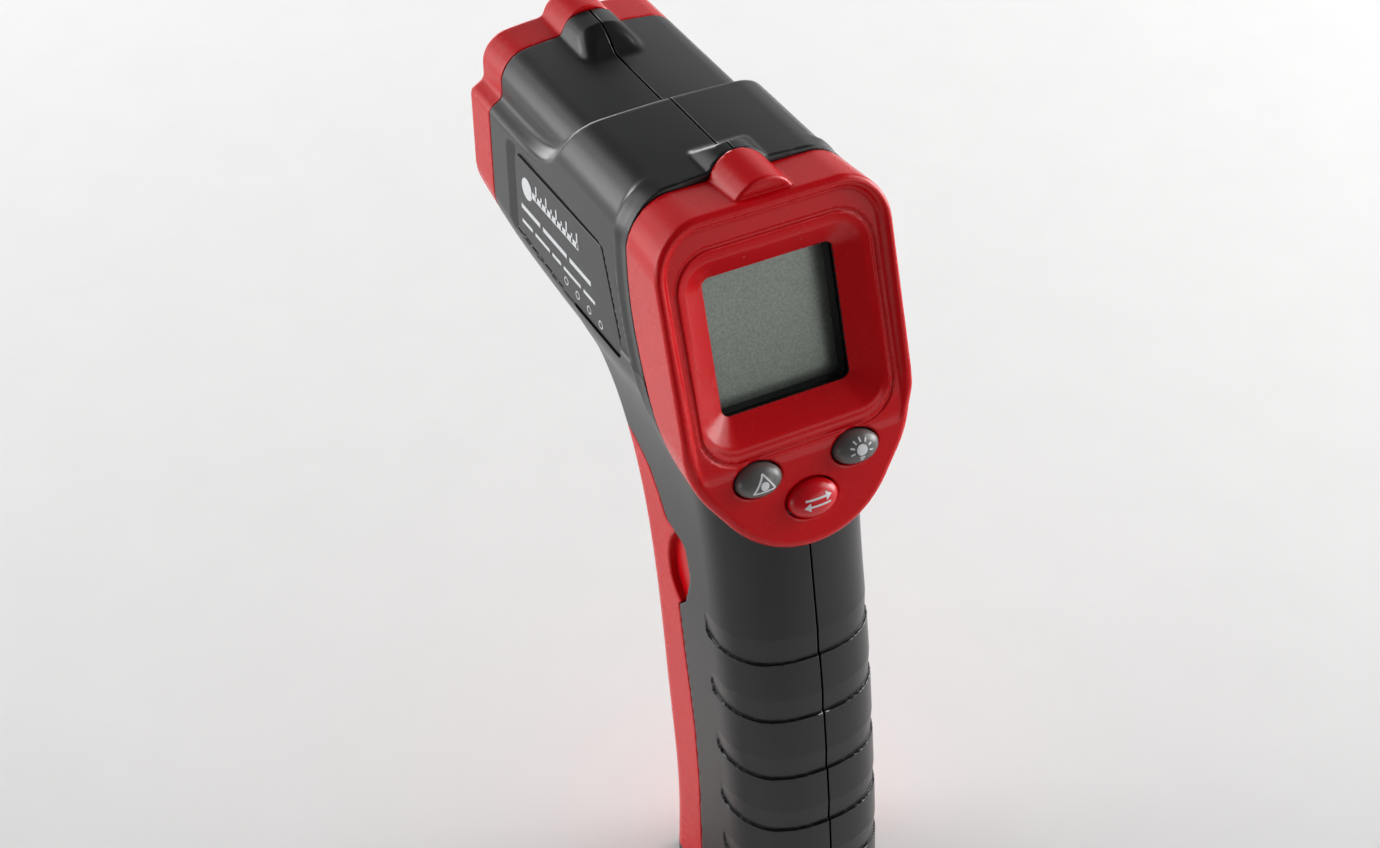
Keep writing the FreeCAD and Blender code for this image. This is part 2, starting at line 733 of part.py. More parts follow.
def nodes():
    left, right = casing_halves()
    parts = {
        "left_casing": left,
        "right_casing": right,
        "display_bezel": display_bezel(),
        "nose_ring": nose_ring(),
        "nose_plate": nose_plate(),
        "label_left": label_panel(-1),
        "label_right": label_panel(1),
        "casing_screws": casing_screws(),
        "lcd_window": lcd_window(),
        "display_spacer": display_spacer(),
        "lcd_panel": lcd_panel(),
        "backlight": backlight(),
        "main_board": main_board(),
        "board_screws": board_screws(),
        "tact_switches": tact_switches(),
        "keypad_mat": keypad_mat(),
        "controller_chip": controller_chip(),
        "buzzer": buzzer(),
        "trigger": trigger(),
        "trigger_pin": trigger_pin(),
        "trigger_spring": trigger_spring(),
        "trigger_switch": trigger_switch(),
        "battery_door": battery_door(),
        "door_hinge_pin": door_hinge_pin(),
        "battery_left": cell(-CELL_X),
        "battery_right": cell(CELL_X),
        "battery_tray": battery_tray(),
        "contact_springs": contact_springs(),
        "contact_plates": contact_plates(),
        "sensor_tube": sensor_tube(),
        "infrared_lens": infrared_lens(),
        "thermopile": thermopile(),
        "sensor_board": sensor_board(),
        "optics_bracket": optics_bracket(),
        "laser_module": laser_module(),
        "laser_window": laser_window(),
    }
    for name, (u, v, grow) in KEYS.items():
        parts[name] = key(u, v, grow)
    return parts


os.makedirs("parts", exist_ok=True)
for name, shape in nodes().items():
    shape.exportStep("parts/" + name + ".step")
    size = shape.BoundBox
    print(f"{name:18s} {len(shape.Solids)} solid, {shape.Volume:9.1f} mm3, valid {shape.isValid()}, "
          f"{size.XLength:.1f} x {size.YLength:.1f} x {size.ZLength:.1f}")
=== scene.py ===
"""Looks of the pistol-grip infrared thermometer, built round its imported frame."""
import json
import math
import bpy
import numpy as np
from mathutils import Matrix, Vector


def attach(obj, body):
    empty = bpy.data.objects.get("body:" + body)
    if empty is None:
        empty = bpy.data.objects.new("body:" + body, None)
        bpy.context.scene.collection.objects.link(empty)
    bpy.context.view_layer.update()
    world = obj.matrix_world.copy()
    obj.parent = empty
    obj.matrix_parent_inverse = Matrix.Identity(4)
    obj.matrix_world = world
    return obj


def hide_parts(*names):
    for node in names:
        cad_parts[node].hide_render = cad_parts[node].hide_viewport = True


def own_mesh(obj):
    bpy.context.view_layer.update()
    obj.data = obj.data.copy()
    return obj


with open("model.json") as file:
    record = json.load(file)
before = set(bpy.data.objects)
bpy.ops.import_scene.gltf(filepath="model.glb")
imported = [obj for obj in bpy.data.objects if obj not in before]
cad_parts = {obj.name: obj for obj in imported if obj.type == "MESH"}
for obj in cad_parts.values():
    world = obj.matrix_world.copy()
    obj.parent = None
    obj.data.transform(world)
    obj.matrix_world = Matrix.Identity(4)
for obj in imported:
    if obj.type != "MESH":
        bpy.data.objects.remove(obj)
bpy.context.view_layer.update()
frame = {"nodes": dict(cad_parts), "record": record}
MM = 0.001
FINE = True
STEP = 0.5 if FINE else 0.85
BEZEL_STEP = 0.4 if FINE else 0.7
NOSE_STEP = 0.4


# ---------------------------------------------------------------- scalar fields, in millimetres

def rmax(a, b, r):
    """The larger of two fields, with the convex edge between them rounded."""
    return np.minimum(np.maximum(a, b), -r) + np.hypot(np.maximum(a + r, 0), np.maximum(b + r, 0))


def smin(a, b, k):
    """The smaller of two fields, with the concave corner between them filled."""
    h = np.maximum(k - np.abs(a - b), 0) / k
    return np.minimum(a, b) - h * h * h * k / 6


def smax(a, b, k):
    """The larger of two fields, with the convex edge between them rounded off smoothly."""
    return -smin(-a, -b, k)


def step01(t):
    """A smooth step from 0 to 1 as t goes from 0 to 1."""
    t = np.clip(t, 0, 1)
    return t * t * (3 - 2 * t)


def spline(knots):
    """A natural cubic through (t, value) knots; returns a function giving value and slope."""
    t = np.array([k[0] for k in knots], float)
    v = np.array([k[1] for k in knots], float)
    n = len(t)
    h = np.diff(t)
    a = np.eye(n)
    b = np.zeros(n)
    for i in range(1, n - 1):
        a[i, i - 1:i + 2] = h[i - 1], 2 * (h[i - 1] + h[i]), h[i]
        b[i] = 6 * ((v[i + 1] - v[i]) / h[i] - (v[i] - v[i - 1]) / h[i - 1])
    m = np.linalg.solve(a, b)

    def at(q):
        i = np.clip(np.searchsorted(t, q) - 1, 0, n - 2)
        s = np.clip(q, t[0], t[-1]) - t[i]
        g = t[i + 1] - t[i]
        c1 = (v[i + 1] - v[i]) / g - g * (2 * m[i] + m[i + 1]) / 6
        c3 = (m[i + 1] - m[i]) / (6 * g)
        value = v[i] + s * (c1 + s * (m[i] / 2 + s * c3))
        slope = c1 + s * (m[i] + 3 * s * c3)
        return value + (q - np.clip(q, t[0], t[-1])) * slope, slope
    return at


def poly(a, b, points):
    """Signed distance to a closed polygon, negative inside."""
    nearest = None
    inside = None
    for (px, py), (qx, qy) in zip(points, points[1:] + points[:1]):
        ex, ey = qx - px, qy - py
        wx, wy = a - px, b - py
        t = np.clip((wx * ex + wy * ey) / (ex * ex + ey * ey), 0, 1)
        d = (wx - ex * t) ** 2 + (wy - ey * t) ** 2
        above, below, left = b >= py, b < qy, ex * wy > ey * wx
        flip = (above & below & left) | ~(above | below | left)
        nearest = d if nearest is None else np.minimum(nearest, d)
        inside = flip if inside is None else inside ^ flip
    return np.where(inside, -1, 1) * np.sqrt(nearest)


def rounded(corners, arc=7):
    """Polygon points from corners (a, b, radius)."""
    out = []
    count = len(corners)
    for i in range(count):
        here = np.array(corners[i][:2], float)
        r = corners[i][2]
        back = np.array(corners[i - 1][:2]) - here
        ahead = np.array(corners[(i + 1) % count][:2]) - here
        back /= np.linalg.norm(back)
        ahead /= np.linalg.norm(ahead)
        if r == 0:
            out.append(tuple(here))
            continue
        half = math.acos(np.clip(back @ ahead, -1, 1)) / 2
        inward = (back + ahead) / np.linalg.norm(back + ahead)
        centre = here + inward * r / math.sin(half)
        start = here + back * r / math.tan(half) - centre
        end = here + ahead * r / math.tan(half) - centre
        sweep = math.pi - 2 * half
        turn = math.copysign(1, start[0] * end[1] - start[1] * end[0])
        for s in range(arc + 1):
            angle = turn * sweep * s / arc
            c, n = math.cos(angle), math.sin(angle)
            out.append((centre[0] + c * start[0] - n * start[1], centre[1] + n * start[0] + c * start[1]))
    return out


def smooth_outline(a, b, top, corners, low):
    """Signed distance to a convex outline that is mirrored about a = 0: true arcs between straight sides."""
    a = np.abs(a)
    points = [np.array((0.0, top))] + [np.array(c[:2], float) for c in corners] + [np.array((0.0, low))]
    field = None
    start = points[0]
    for i, corner in enumerate(corners):
        r = corner[2]
        here = points[i + 1]
        back = (points[i] - here) / np.linalg.norm(points[i] - here)
        ahead = (points[i + 2] - here) / np.linalg.norm(points[i + 2] - here)
        half = math.acos(back @ ahead) / 2
        centre = here + (back + ahead) / np.linalg.norm(back + ahead) * r / math.sin(half)
        enter, leave = here + back * r / math.tan(half), here + ahead * r / math.tan(half)
        for p, q in ((start, enter), (leave, points[i + 2])):
            run = np.linalg.norm(q - p)
            if i < len(corners) - 1 and q is points[i + 2] or run < 1e-6:
                continue
            d = (q - p) / run
            along = (a - p[0]) * d[0] + (b - p[1]) * d[1]
            side = -(a - p[0]) * d[1] + (b - p[1]) * d[0]
            value = np.where((along >= -1e-3) & (along <= run + 1e-3), side, -99)
            field = value if field is None else np.maximum(field, value)
        qa, qb = a - centre[0], b - centre[1]
        n0, n1 = (enter - centre) / r, (leave - centre) / r
        within = (n0[0] * qb - n0[1] * qa <= 0) & (qa * n1[1] - qb * n1[0] <= 0)
        field = np.maximum(field, np.where(within, np.hypot(qa, qb) - r, -99))
        start = leave
    return field


# Face coordinates: u across, v up the display's face, w out of it
TILT = math.radians(17.9)
SIN, COS = math.sin(TILT), math.cos(TILT)
FACE_Y, FACE_Z = 8.0, 126.7


def face_v(y, z):
    """Distance up the display's face."""
    return (y - FACE_Y) * SIN + (z - FACE_Z) * COS


def face_w(y, z):
    """Distance out of the display's face."""
    return (z - FACE_Z) * SIN - (y - FACE_Y) * COS


def face_point(u, v, w):
    """The point at (u, v, w) in face coordinates."""
    return (u, FACE_Y + v * SIN - w * COS, FACE_Z + v * COS + w * SIN)


# Profiles in the middle plane: the seam, handle and its half width are y or x by z, the belly is z by y
SEAM = spline([(84, -8.8), (91, -5.2), (100.3, -1.3), (104.7, 2.5), (110.6, 8.9), (116, 13.6), (122, 16.8),
               (128.3, 19.2), (135, 20.4), (143, 20.5), (149.5, 21.2), (156, 24.0)])
BELLY = spline([(10, 106.3), (30, 106.8), (45, 107.2), (60, 108.3), (68, 109.2), (75.5, 110.7),
                (84.3, 113.0)])
HANDLE_BACK = spline([(-4, -16.9), (0, -16.5), (25, -14.6), (45, -12.2), (59.3, -10.1), (72.4, -7.7),
                      (87, -4.8), (112, 0)])
HANDLE_FRONT = spline([(-4, 21.4), (0, 21.2), (16.6, 20.9), (27.9, 22.1), (40.3, 24.2), (60.9, 27.3),
                       (79.7, 31.9), (94.9, 37.6), (112, 44)])
HANDLE_HALF = spline([(-4, 14.3), (0, 14.3), (40, 14.2), (72, 14.3), (95, 14.9), (104, 16.2), (112, 18.2)])

# Outlines with the rounding of each corner: the display housing's as (x, z), the others as (y, z)
FACE_TOP, FACE_FOOT = 150.16, 91.7
FACE_CORNERS = [(21.46, FACE_TOP, 9.0), (21.46, 107.75, 17.8), (9.3, FACE_FOOT, 18.6)]
LABEL = [(65.9, 134.7, 1.5), (31.4, 135.2, 1.5), (23.9, 116.4, 1.5), (45.5, 116.4, 1.5), (65.9, 118.9, 1.5)]
LABEL_RECESS = rounded([(68.6, 135.8, 1.5), (31.4, 135.2, 1.5), (23.9, 116.4, 1.5), (45.5, 116.4, 1.5),
                        (68.8, 118.6, 1.5)])
DOOR = rounded([(8.2, 2.4, 0.5), (8.2, 10, 0), (9.1, 27, 0), (10.7, 40.3, 0), (13.4, 53, 0),
                (16.1, 66.3, 0.6), (13.6, 68.9, 2), (11.9, 75.6, 4), (13.9, 81.6, 2.5), (20.4, 82.7, 2.5),
                (23.2, 86.8, 0), (26, 90.3, 3), (31.4, 94.0, 5), (39, 96, 0), (70, 96, 0), (70, 2.4, 0)])

# Screws: y, z, and how far out the casing's side is there
SCREWS = ((30.0, 143.0, 19.8), (49.5, 143.0, 17.0), (49.5, 113.5, 19.8), (2.0, 70.0, 14.3), (-9.0, 8.0, 13.6))

# Keys: half widths, levels of the dome's edge and top, and for each its (u, v) and how much larger it is
KEY_U, KEY_V, KEY_EDGE, KEY_TOP = 4.15, 2.8, 3.9, 6.2
KEYS = {
    "laser_button": (-9.15, -22.6, 0.0),
    "light_button": (9.15, -22.6, 0.0),
    "unit_button": (0.0, -28.8, 0.45),
}

# Grip steps: heights where each is faintest and strongest
GROOVES = ((73.1, 68.1), (60.8, 56.1), (48.2, 43.6), (36.4, 31.8), (24.5, 20.0), (12.5, 8.0))
GRIP_DEPTH, GRIP_REACH = 0.46, 14.4

# The handle's back: how deep its rounded part is, and the power of its curve
BACK_DEPTH, BACK_POWER = 12.5, 2.4

# Barrel: the full section, the tier in front of the step, the sights and the nose
BARREL_HALF, BARREL_TOP = 19.8, 150.45
TIER_HALF, TIER_TOP = 17.15, 148.45
SHELF, SHELF_SLOPE, SHELF_EDGE = 139.3, 0.62, 17.0
STEP_Y, STEP_HEIGHT, STEP_LENGTH = 45.3, 11, 4.6
FRONT_SIGHT_TOP, FRONT_SIGHT_BACK = 152.65, 70.3
REAR_SIGHT_TOP, REAR_SIGHT_FRONT = 152.94, 25.0
RING_BACK, NOSE = 75.5, 84.2
LENS_OPENING, LASER_OPENING = (123.5, 6.3), (139.0, 2.3)

# Display housing, shell thickness, and half the parting gap between the casing halves
FACE_LEVEL = 3.0
WINDOW_HALF = 11.95
RIB_TOP = 152.95
WALL = 2.0
PARTING = 0.2

# Hinge and trigger pins come from the record's joints; the spring stands on the casing's cross rib,
# and the trigger moves in a slot
joint_rows = frame["record"]["behaviour"]["joints"]
pivots = {row["name"]: [c / MM for c in row["pos_m"]] for row in joint_rows if row["type"] == "hinge"}
HINGE_Y, HINGE_Z = pivots["battery_door_hinge"][1:]
TRIGGER_Y, TRIGGER_Z = pivots["trigger_pull"][1:]
SPRING_Y, SPRING_Z = 22.0, 86.5
SLOT_HALF, SLOT_LOW, SLOT_HIGH = 8.1, 62.5, 108.5

# Labels: the floor of the recess, the film's face and the front of its print
RECESS_X = 19.3
FILM_BASE, FILM_EDGE, FILM_FACE = 19.32, 19.6, 19.7
PRINT_FRONT, PRINT_BACK = 19.74, 19.68


def seam_distance(y, z):
    """Distance ahead of the seam between the display housing and the casing."""
    at, slope = SEAM(z)
    return (y - at) / np.sqrt(1 + slope * slope)


def tier_section(x, z):
    """Section of the narrower tier on top of the barrel's front."""
    return rmax(np.abs(x) - TIER_HALF, (z - TIER_TOP + x * x / 190) * 0.99, 4.8)


def face_outline(x, z):
    """The display housing's outline, seen along Y."""
    return smooth_outline(x, z, FACE_TOP, FACE_CORNERS, FACE_FOOT)


def housing(x, y, z):
    """The display housing's outline, which tapers a little from the face to the seam."""
    return face_outline(x, z) + 0.077 * np.maximum(4.3 - face_w(y, z), 0)


def barrel(x, y, z):
    """The barrel's endless form along Y: full section behind the step, two tiers in front."""
    ax = np.abs(x)
    full = rmax(rmax(ax - BARREL_HALF, z - BARREL_TOP + x * x / 300, 7.0), (BELLY(y)[0] - z) * 0.98, 10.0)
    drop = STEP_HEIGHT * np.exp(-np.clip(y - STEP_Y, -3, 60) / STEP_LENGTH)
    shelf = z - SHELF - drop + SHELF_SLOPE * np.maximum(ax - SHELF_EDGE, 0)
    shelf = shelf / np.sqrt(1.2 + (drop / STEP_LENGTH) ** 2)
    low = rmax(full, shelf, 0.7)
    tier = rmax(tier_section(x, z), 40 - y, 1)
    tier = np.maximum(tier, 125 - z)
    return smin(low, tier, 1.5)


def handle(x, y, z):
    """The handle: a squared half ellipse at the back, and straight sides with round corners in front."""
    back, front, half = HANDLE_BACK(z)[0], HANDLE_FRONT(z)[0], HANDLE_HALF(z)[0]
    middle = back + BACK_DEPTH
    wide = np.abs(x) / half
    deep = np.maximum(middle - y, 0) / BACK_DEPTH
    level = np.maximum((wide ** BACK_POWER + deep ** BACK_POWER) ** (1 / BACK_POWER), 0.02)
    bend = BACK_POWER - 1
    steep = np.hypot((wide / level) ** bend / half, (deep / level) ** bend / BACK_DEPTH)
    rear = (level - 1) / np.maximum(steep, 1e-3)
    fore = rmax(np.abs(x) - half, (y - front) * 0.98, 4.5)
    form = np.where(y < middle, rear, fore)
    return np.maximum(rmax(form, 0.05 - z, 0.7), z - 118)


def grooves(x, y, z, form):
    """Cuts the sawtooth grip steps into the handle's back."""
    back = HANDLE_BACK(z)[0]
    along = z + 0.05 * (y - back)
    ahead = y - back
    out = form
    for faint, strong in GROOVES:
        middle, half = (faint + strong) / 2, (faint - strong) / 2
        region = rmax(np.abs(along - middle) - half, ahead - GRIP_REACH, 1.1)
        depth = GRIP_DEPTH * np.clip((faint - along) / (faint - strong), 0, 1)
        out = np.maximum(out, smin(-region, form + depth, 0.12))
    return out


def arch(x, z, radius, top):
    """Section of a round-topped rib."""
    return np.maximum(np.hypot(x, z - top + radius) - radius, 140 - z)


def casing_outer(x, y, z):
    """The two casing halves' outer form: barrel, handle, collar behind the display housing, and sights."""
    body = barrel(x, y, z)
    grip = grooves(x, y, z, handle(x, y, z))
    form = smin(body, grip, 2.2)
    ahead = seam_distance(y, z)
    reach = 0.25 + 4.1 * step01((z - 101.5) / 17)
    flare = step01((z - 110) / 12) * step01((ahead - 1.5) / 2.6) * step01((np.abs(x) - 13.0) / 5)
    collar = rmax(housing(x, y, z) + 0.06 - 0.5 * flare, ahead - reach, 0.18)
    form = smin(form, collar, 1.5)
    front_slope = (z - FRONT_SIGHT_TOP + 0.75 * np.maximum(FRONT_SIGHT_BACK - y, 0)) * 0.8
    front_sight = np.maximum(rmax(arch(x, z, 5.6, FRONT_SIGHT_TOP), front_slope, 1.8), 60 - y)
    rear_slope = (z - REAR_SIGHT_TOP + 0.75 * np.maximum(y - REAR_SIGHT_FRONT, 0)) * 0.8
    rear_sight = np.maximum(rmax(arch(x, z, 6.9, REAR_SIGHT_TOP), rear_slope, 0.6), y - 32)
    return smin(smin(form, front_sight, 1.3), rear_sight, 0.7)


def door_zone(y, z):
    """The battery door's outline, seen from the side."""
    return poly(y, z, DOOR)


def hinge_lug(x, y, z):
    """The pair of cranked lugs that hold the door's hinge pin."""
    pin = np.hypot(y - HINGE_Y, z - HINGE_Z)
    arm = np.maximum(np.maximum(y - HINGE_Y, 7.8 - y), np.abs(z - HINGE_Z) - 2.2)
    foot = np.maximum(np.abs(y - 8.9) - 1.1, np.abs(z - 6.3) - 4.4)
    crank = np.minimum(pin - 2.2, np.minimum(arm, foot))
    return np.maximum(np.maximum(crank, np.abs(np.abs(x) - 8.8) - 1.2), -(pin - 1.2))


def battery_bay(x, y, z):
    """The room for the two cells, whose back follows the handle's lean."""
    bay = np.maximum(np.maximum(np.abs(x) - 11.9, 12.5 - z), np.maximum(z - 64, y - 19.9))
    return np.maximum(bay, -(y - (-9.5 + (z - 12.5) * 0.1456)))


def label_recess(x, y, z):
    """The labels' shallow recess, which runs out in a ramp at its front end."""
    depth = RECESS_X - np.abs(x)
    cut = rmax(poly(y, z, LABEL_RECESS), depth, 0.08)
    return np.maximum(cut, (y - 66.0 + 5.2 * depth) * 0.19)


def casing(x, y, z):
    """Both casing halves as one shell, with screw posts, cross rib, openings and hinge lugs."""
    outer = casing_outer(x, y, z)
    shell = np.maximum(outer, -(outer + WALL))
    ax = np.abs(x)
    for sy, sz, sx in SCREWS:
        post = np.hypot(y - sy, z - sz) - 2.8
        shell = np.minimum(shell, np.maximum(np.maximum(post, outer + 0.4), -13 - x))
    rib = np.maximum(np.maximum(np.abs(y - 21) - 1, np.abs(z - SPRING_Z) - 6.5), ax - 10.5)
    shell = np.minimum(shell, np.maximum(rib, outer + 0.5))
    shell = rmax(shell, 0.07 - seam_distance(y, z), 0.22)
    shell = rmax(shell, y - RING_BACK + 0.06, 0.25)
    shell = rmax(shell, -door_zone(y, z), 0.3)
    slot = np.maximum(np.maximum(ax - SLOT_HALF, 24 - y), np.maximum(SLOT_LOW - z, z - SLOT_HIGH))
    shell = smax(shell, -slot, 0.5)
    shell = np.minimum(shell, hinge_lug(x, y, z))
    shell = np.maximum(shell, -battery_bay(x, y, z))
    return np.maximum(shell, -label_recess(x, y, z))


def left_casing(x, y, z):
    """The left half of the casing, up to the parting gap."""
    return rmax(casing(x, y, z), x + PARTING, 0.06)


def right_casing(x, y, z):
    """The right half, with the screws' counterbores and holes."""
    form = casing(x, y, z)
    for sy, sz, sx in SCREWS:
        across = np.hypot(y - sy, z - sz)
        form = rmax(form, -np.maximum(across - 2.5, sx - 3.4 - x), 0.25)
        form = np.maximum(form, -(across - 1.2))
    return rmax(form, PARTING - x, 0.06)


def oval(a, b, grow):
    """Distance outside a key's oval plan."""
    k0 = np.hypot(a / (KEY_U + grow), b / (KEY_V + grow))
    k1 = np.hypot(a / (KEY_U + grow) ** 2, b / (KEY_V + grow) ** 2)
    return k0 * (k0 - 1) / np.maximum(k1, 1e-4)


def square(u, v, half, r):
    """A square with round corners."""
    return rmax(np.abs(u) - half, np.abs(v) - half, r)


def bezel(x, y, z):
    """The display bezel: rim, sunk face, beaded frame round the sloping pocket, rear rib and key holes."""
    v, w = face_v(y, z), face_w(y, z)
    outline = face_outline(x, z)
    low = step01((-14.0 - v) / 5.5)
    rim = 3.7 + 0.65 * np.clip((v + 19.0) / 7.0, 0, 1)
    body = rmax(housing(x, y, z), w - rim, 0.9 + 1.0 * low)
    body = rmax(body, seam_distance(y, z) + 0.07, 0.25)
    rib = rmax(rmax(arch(x, z, 6.0, RIB_TOP), 12.6 - y, 0.6), seam_distance(y, z) + 0.07, 0.25)
    face = FACE_LEVEL + 0.7 * np.clip((6.0 - v) / 29, 0, 1)
    rim_wall = (-(outline + 2.35) - 0.75 * (face - w)) * 0.8
    ledge = smin(w - face, rim_wall, 0.5) - 3.0 * step01((-19.8 - v) / 5.0)
    body = rmax(body, ledge, 0.5)
    body = smin(body, np.maximum(rib, 146 - z), 0.6)
    around = rmax(np.abs(x) - 17.9, np.abs(v + 0.7) - 18.4, 6.8)
    dish = 0.14 * step01((around + 2.6) / 1.2) * step01((-0.3 - around) / 1.3)
    body = np.maximum(body, w - face + dish - 3 * np.maximum(around + 0.1, 0))
    channel = np.hypot(np.maximum(np.abs(around) - 0.08, 0), w - face - 0.05) - 0.36
    body = smax(body, -channel, 0.1)
    up = np.clip(w, 0, 8)
    side_wall = (np.abs(x) - WINDOW_HALF - 1.6 * up) * 0.53
    end_wall = (np.abs(v) - WINDOW_HALF - 1.33 * up) * 0.6
    pocket = rmax(side_wall, end_wall, 0.8 + 0.75 * up)
    body = rmax(body, -np.where(w < 0, square(x, v, WINDOW_HALF, 1.4), pocket), 0.45)
    hollow = np.maximum(housing(x, y, z) + WALL, w + 1.8)
    body = np.maximum(body, -hollow)
    rebate = np.maximum(square(x, v, 13.2, 0.4), np.maximum(w + 0.6, -8 - w))
    body = np.maximum(body, -rebate)
    for ku, kv, grow in KEYS.values():
        body = rmax(body, -oval(x - ku, v - kv, grow + 0.3), 0.35)
    return body


def ring_section(x, y, z):
    """Section of the nose: two tiers and the lobe on top."""
    full = rmax(np.abs(x) - BARREL_HALF, (BELLY(y)[0] - z) * 0.98, 10.0)
    low = rmax(full, (z - SHELF + SHELF_SLOPE * np.maximum(np.abs(x) - SHELF_EDGE, 0)) * 0.9, 0.9)
    section = smin(low, np.maximum(tier_section(x, z), 125 - z), 1.3)
    return smin(section, arch(x, z, 5.3, FRONT_SIGHT_TOP), 1.6)


def nose_ring(x, y, z):
    """The ring round the nose, with its lobe on top."""
    section = ring_section(x, y, z)
    band = rmax(rmax(section, y - NOSE, 1.2), RING_BACK + 0.06 - y, 0.25)
    inner = section + 2.4
    return rmax(band, -inner, 0.5)


def nose_plate(x, y, z):
    """The wall inside the ring, with the openings for the lens and the laser."""
    section = ring_section(x, y, z) + 2.45
    plate = rmax(section, np.abs(y - 80.8) - 1.2, 0.3)
    for (height, radius), edge in ((LENS_OPENING, 0.5), (LASER_OPENING, 0.4)):
        plate = rmax(plate, -(np.hypot(x, z - height) - radius), edge)
    return plate


def battery_door(x, y, z):
    """The door: the handle's front skin with finger dishes, side pads and its hinge knuckle."""
    form = handle(x, y, z)
    ax = np.abs(x)
    zone = door_zone(y - 0.22, z)
    skin = rmax(form, zone, 0.3)
    skin = np.maximum(skin, -(form + WALL))
    dish = np.hypot(y - 13.0, (z - 75.3) / 1.25) - 6.9
    skin = rmax(skin, -np.maximum(dish, 12.9 - ax), 0.4)
    pad = np.maximum(np.maximum(np.abs(ax - 12.15) - 0.75, np.abs(z - 75) - 9), np.abs(y - 13.5) - 8.5)
    skin = np.minimum(skin, np.maximum(pad, zone))
    pin = np.hypot(y - HINGE_Y, z - HINGE_Z)
    web = np.maximum(np.maximum(np.abs(z - HINGE_Z) - 2, HINGE_Y - y), np.maximum(form + 0.5, y - 22))
    knuckle = np.maximum(np.minimum(pin - 2.4, web), ax - 7.3)
    skin = np.minimum(skin, knuckle)
    slot = np.maximum(np.maximum(ax - SLOT_HALF, 20 - y), SLOT_LOW - z)
    skin = smax(skin, -slot, 0.5)
    return np.maximum(skin, -np.maximum(pin - 1.25, ax - 10))


TRIGGER = rounded([(32.8, 105.5, 3), (46.0, 105.7, 1.5), (44.9, 96, 5), (38.9, 84, 14), (38.2, 67.0, 3),
                   (32.0, 66.0, 1.5), (31.5, 82, 0), (32.8, 94, 0)])


def trigger(x, y, z):
    """The trigger's blade, with finger grooves, the spring's seat and the pin's bore."""
    blade = poly(y, z, TRIGGER)
    form = rmax(blade, np.abs(x) - 7.5, 1.6)
    for level in range(74, 91, 4):
        groove = np.hypot(z - level, np.maximum(-blade, 0)) - 0.45
        form = np.maximum(form, -np.maximum(groove, np.abs(x) - 5.5))
    form = np.maximum(form, -np.maximum(np.hypot(x, z - SPRING_Z) - 3.1, y - 33.6))
    return np.maximum(form, -(np.hypot(y - TRIGGER_Y, z - TRIGGER_Z) - 1.05))


# ---------------------------------------------------------------- meshing a field

def lines(low, high, step=STEP, fine=()):
    """Grid lines from low to high, closer together inside each (centre, half, step) zone."""
    base = np.arange(low, high + step, step)
    extra = []
    for centre, half, small in fine:
        base = base[np.abs(base - centre) > half]
        extra.append(np.arange(centre - half, centre + half + small / 2, small))
    return np.unique(np.round(np.concatenate([base] + extra), 4))


TETRA = np.array([(1, -1, -1), (-1, -1, 1), (-1, 1, -1), (1, 1, 1)], float)


def gradient(field, p, h=0.02):
    """The field's gradient at each point, from four samples on a tetrahedron."""
    total = np.zeros_like(p)
    for corner in TETRA:
        near = p + corner * h
        total += corner * field(near[:, 0], near[:, 1], near[:, 2])[:, None]
    return total / (4 * h)


def unit(v):
    return v / np.maximum(np.linalg.norm(v, axis=1, keepdims=True), 1e-9)


def on_surface(field, pa, pb, fa, fb):
    """Points between pa and pb where the field is zero, found inside a shrinking bracket."""
    low, high = np.zeros(len(pa)), np.ones(len(pa))
    t = fa / (fa - fb)
    for _ in range(3):
        p = pa + t[:, None] * (pb - pa)
        fp = field(p[:, 0], p[:, 1], p[:, 2])
        same = (fp < 0) == (fa < 0)
        low, fa = np.where(same, t, low), np.where(same, fp, fa)
        high, fb = np.where(same, high, t), np.where(same, fb, fp)
        t = low + (high - low) * np.clip(fa / np.where(fa == fb, 1e-9, fa - fb), 0.02, 0.98)
    return pa + t[:, None] * (pb - pa)


def crossings(field, grid, axes, axis):
    """Where the grid's edges along one axis cross the surface: points, normals, and each one's four cells."""
    inside = grid < 0
    shape = tuple(n - 1 for n in grid.shape)
    first = [slice(None)] * 3
    second = [slice(None)] * 3
    first[axis], second[axis] = slice(0, -1), slice(1, None)
    at = np.argwhere(inside[tuple(first)] != inside[tuple(second)])
    across = [k for k in range(3) if k != axis]
    keep = np.ones(len(at), bool)
    for k in across:
        keep &= (at[:, k] > 0) & (at[:, k] < shape[k])
    at = at[keep]
    far = at.copy()
    far[:, axis] += 1
    fa, fb = grid[tuple(at.T)].astype(float), grid[tuple(far.T)].astype(float)
    pa = np.stack([axes[k][at[:, k]] for k in range(3)], 1).astype(float)
    pb = np.stack([axes[k][far[:, k]] for k in range(3)], 1).astype(float)
    points = on_surface(field, pa, pb, fa, fb)
    round_edge = []
    for steps in ((-1, -1), (0, -1), (0, 0), (-1, 0)):
        cell = at.copy()
        cell[:, across] += steps
        round_edge.append(np.ravel_multi_index(cell.T, shape))
    quads = np.stack(round_edge, 1)
    outward = inside[tuple(at.T)]
    if axis == 1:
        outward = ~outward
    quads[~outward] = quads[~outward][:, ::-1]
    return points, unit(gradient(field, points)), quads


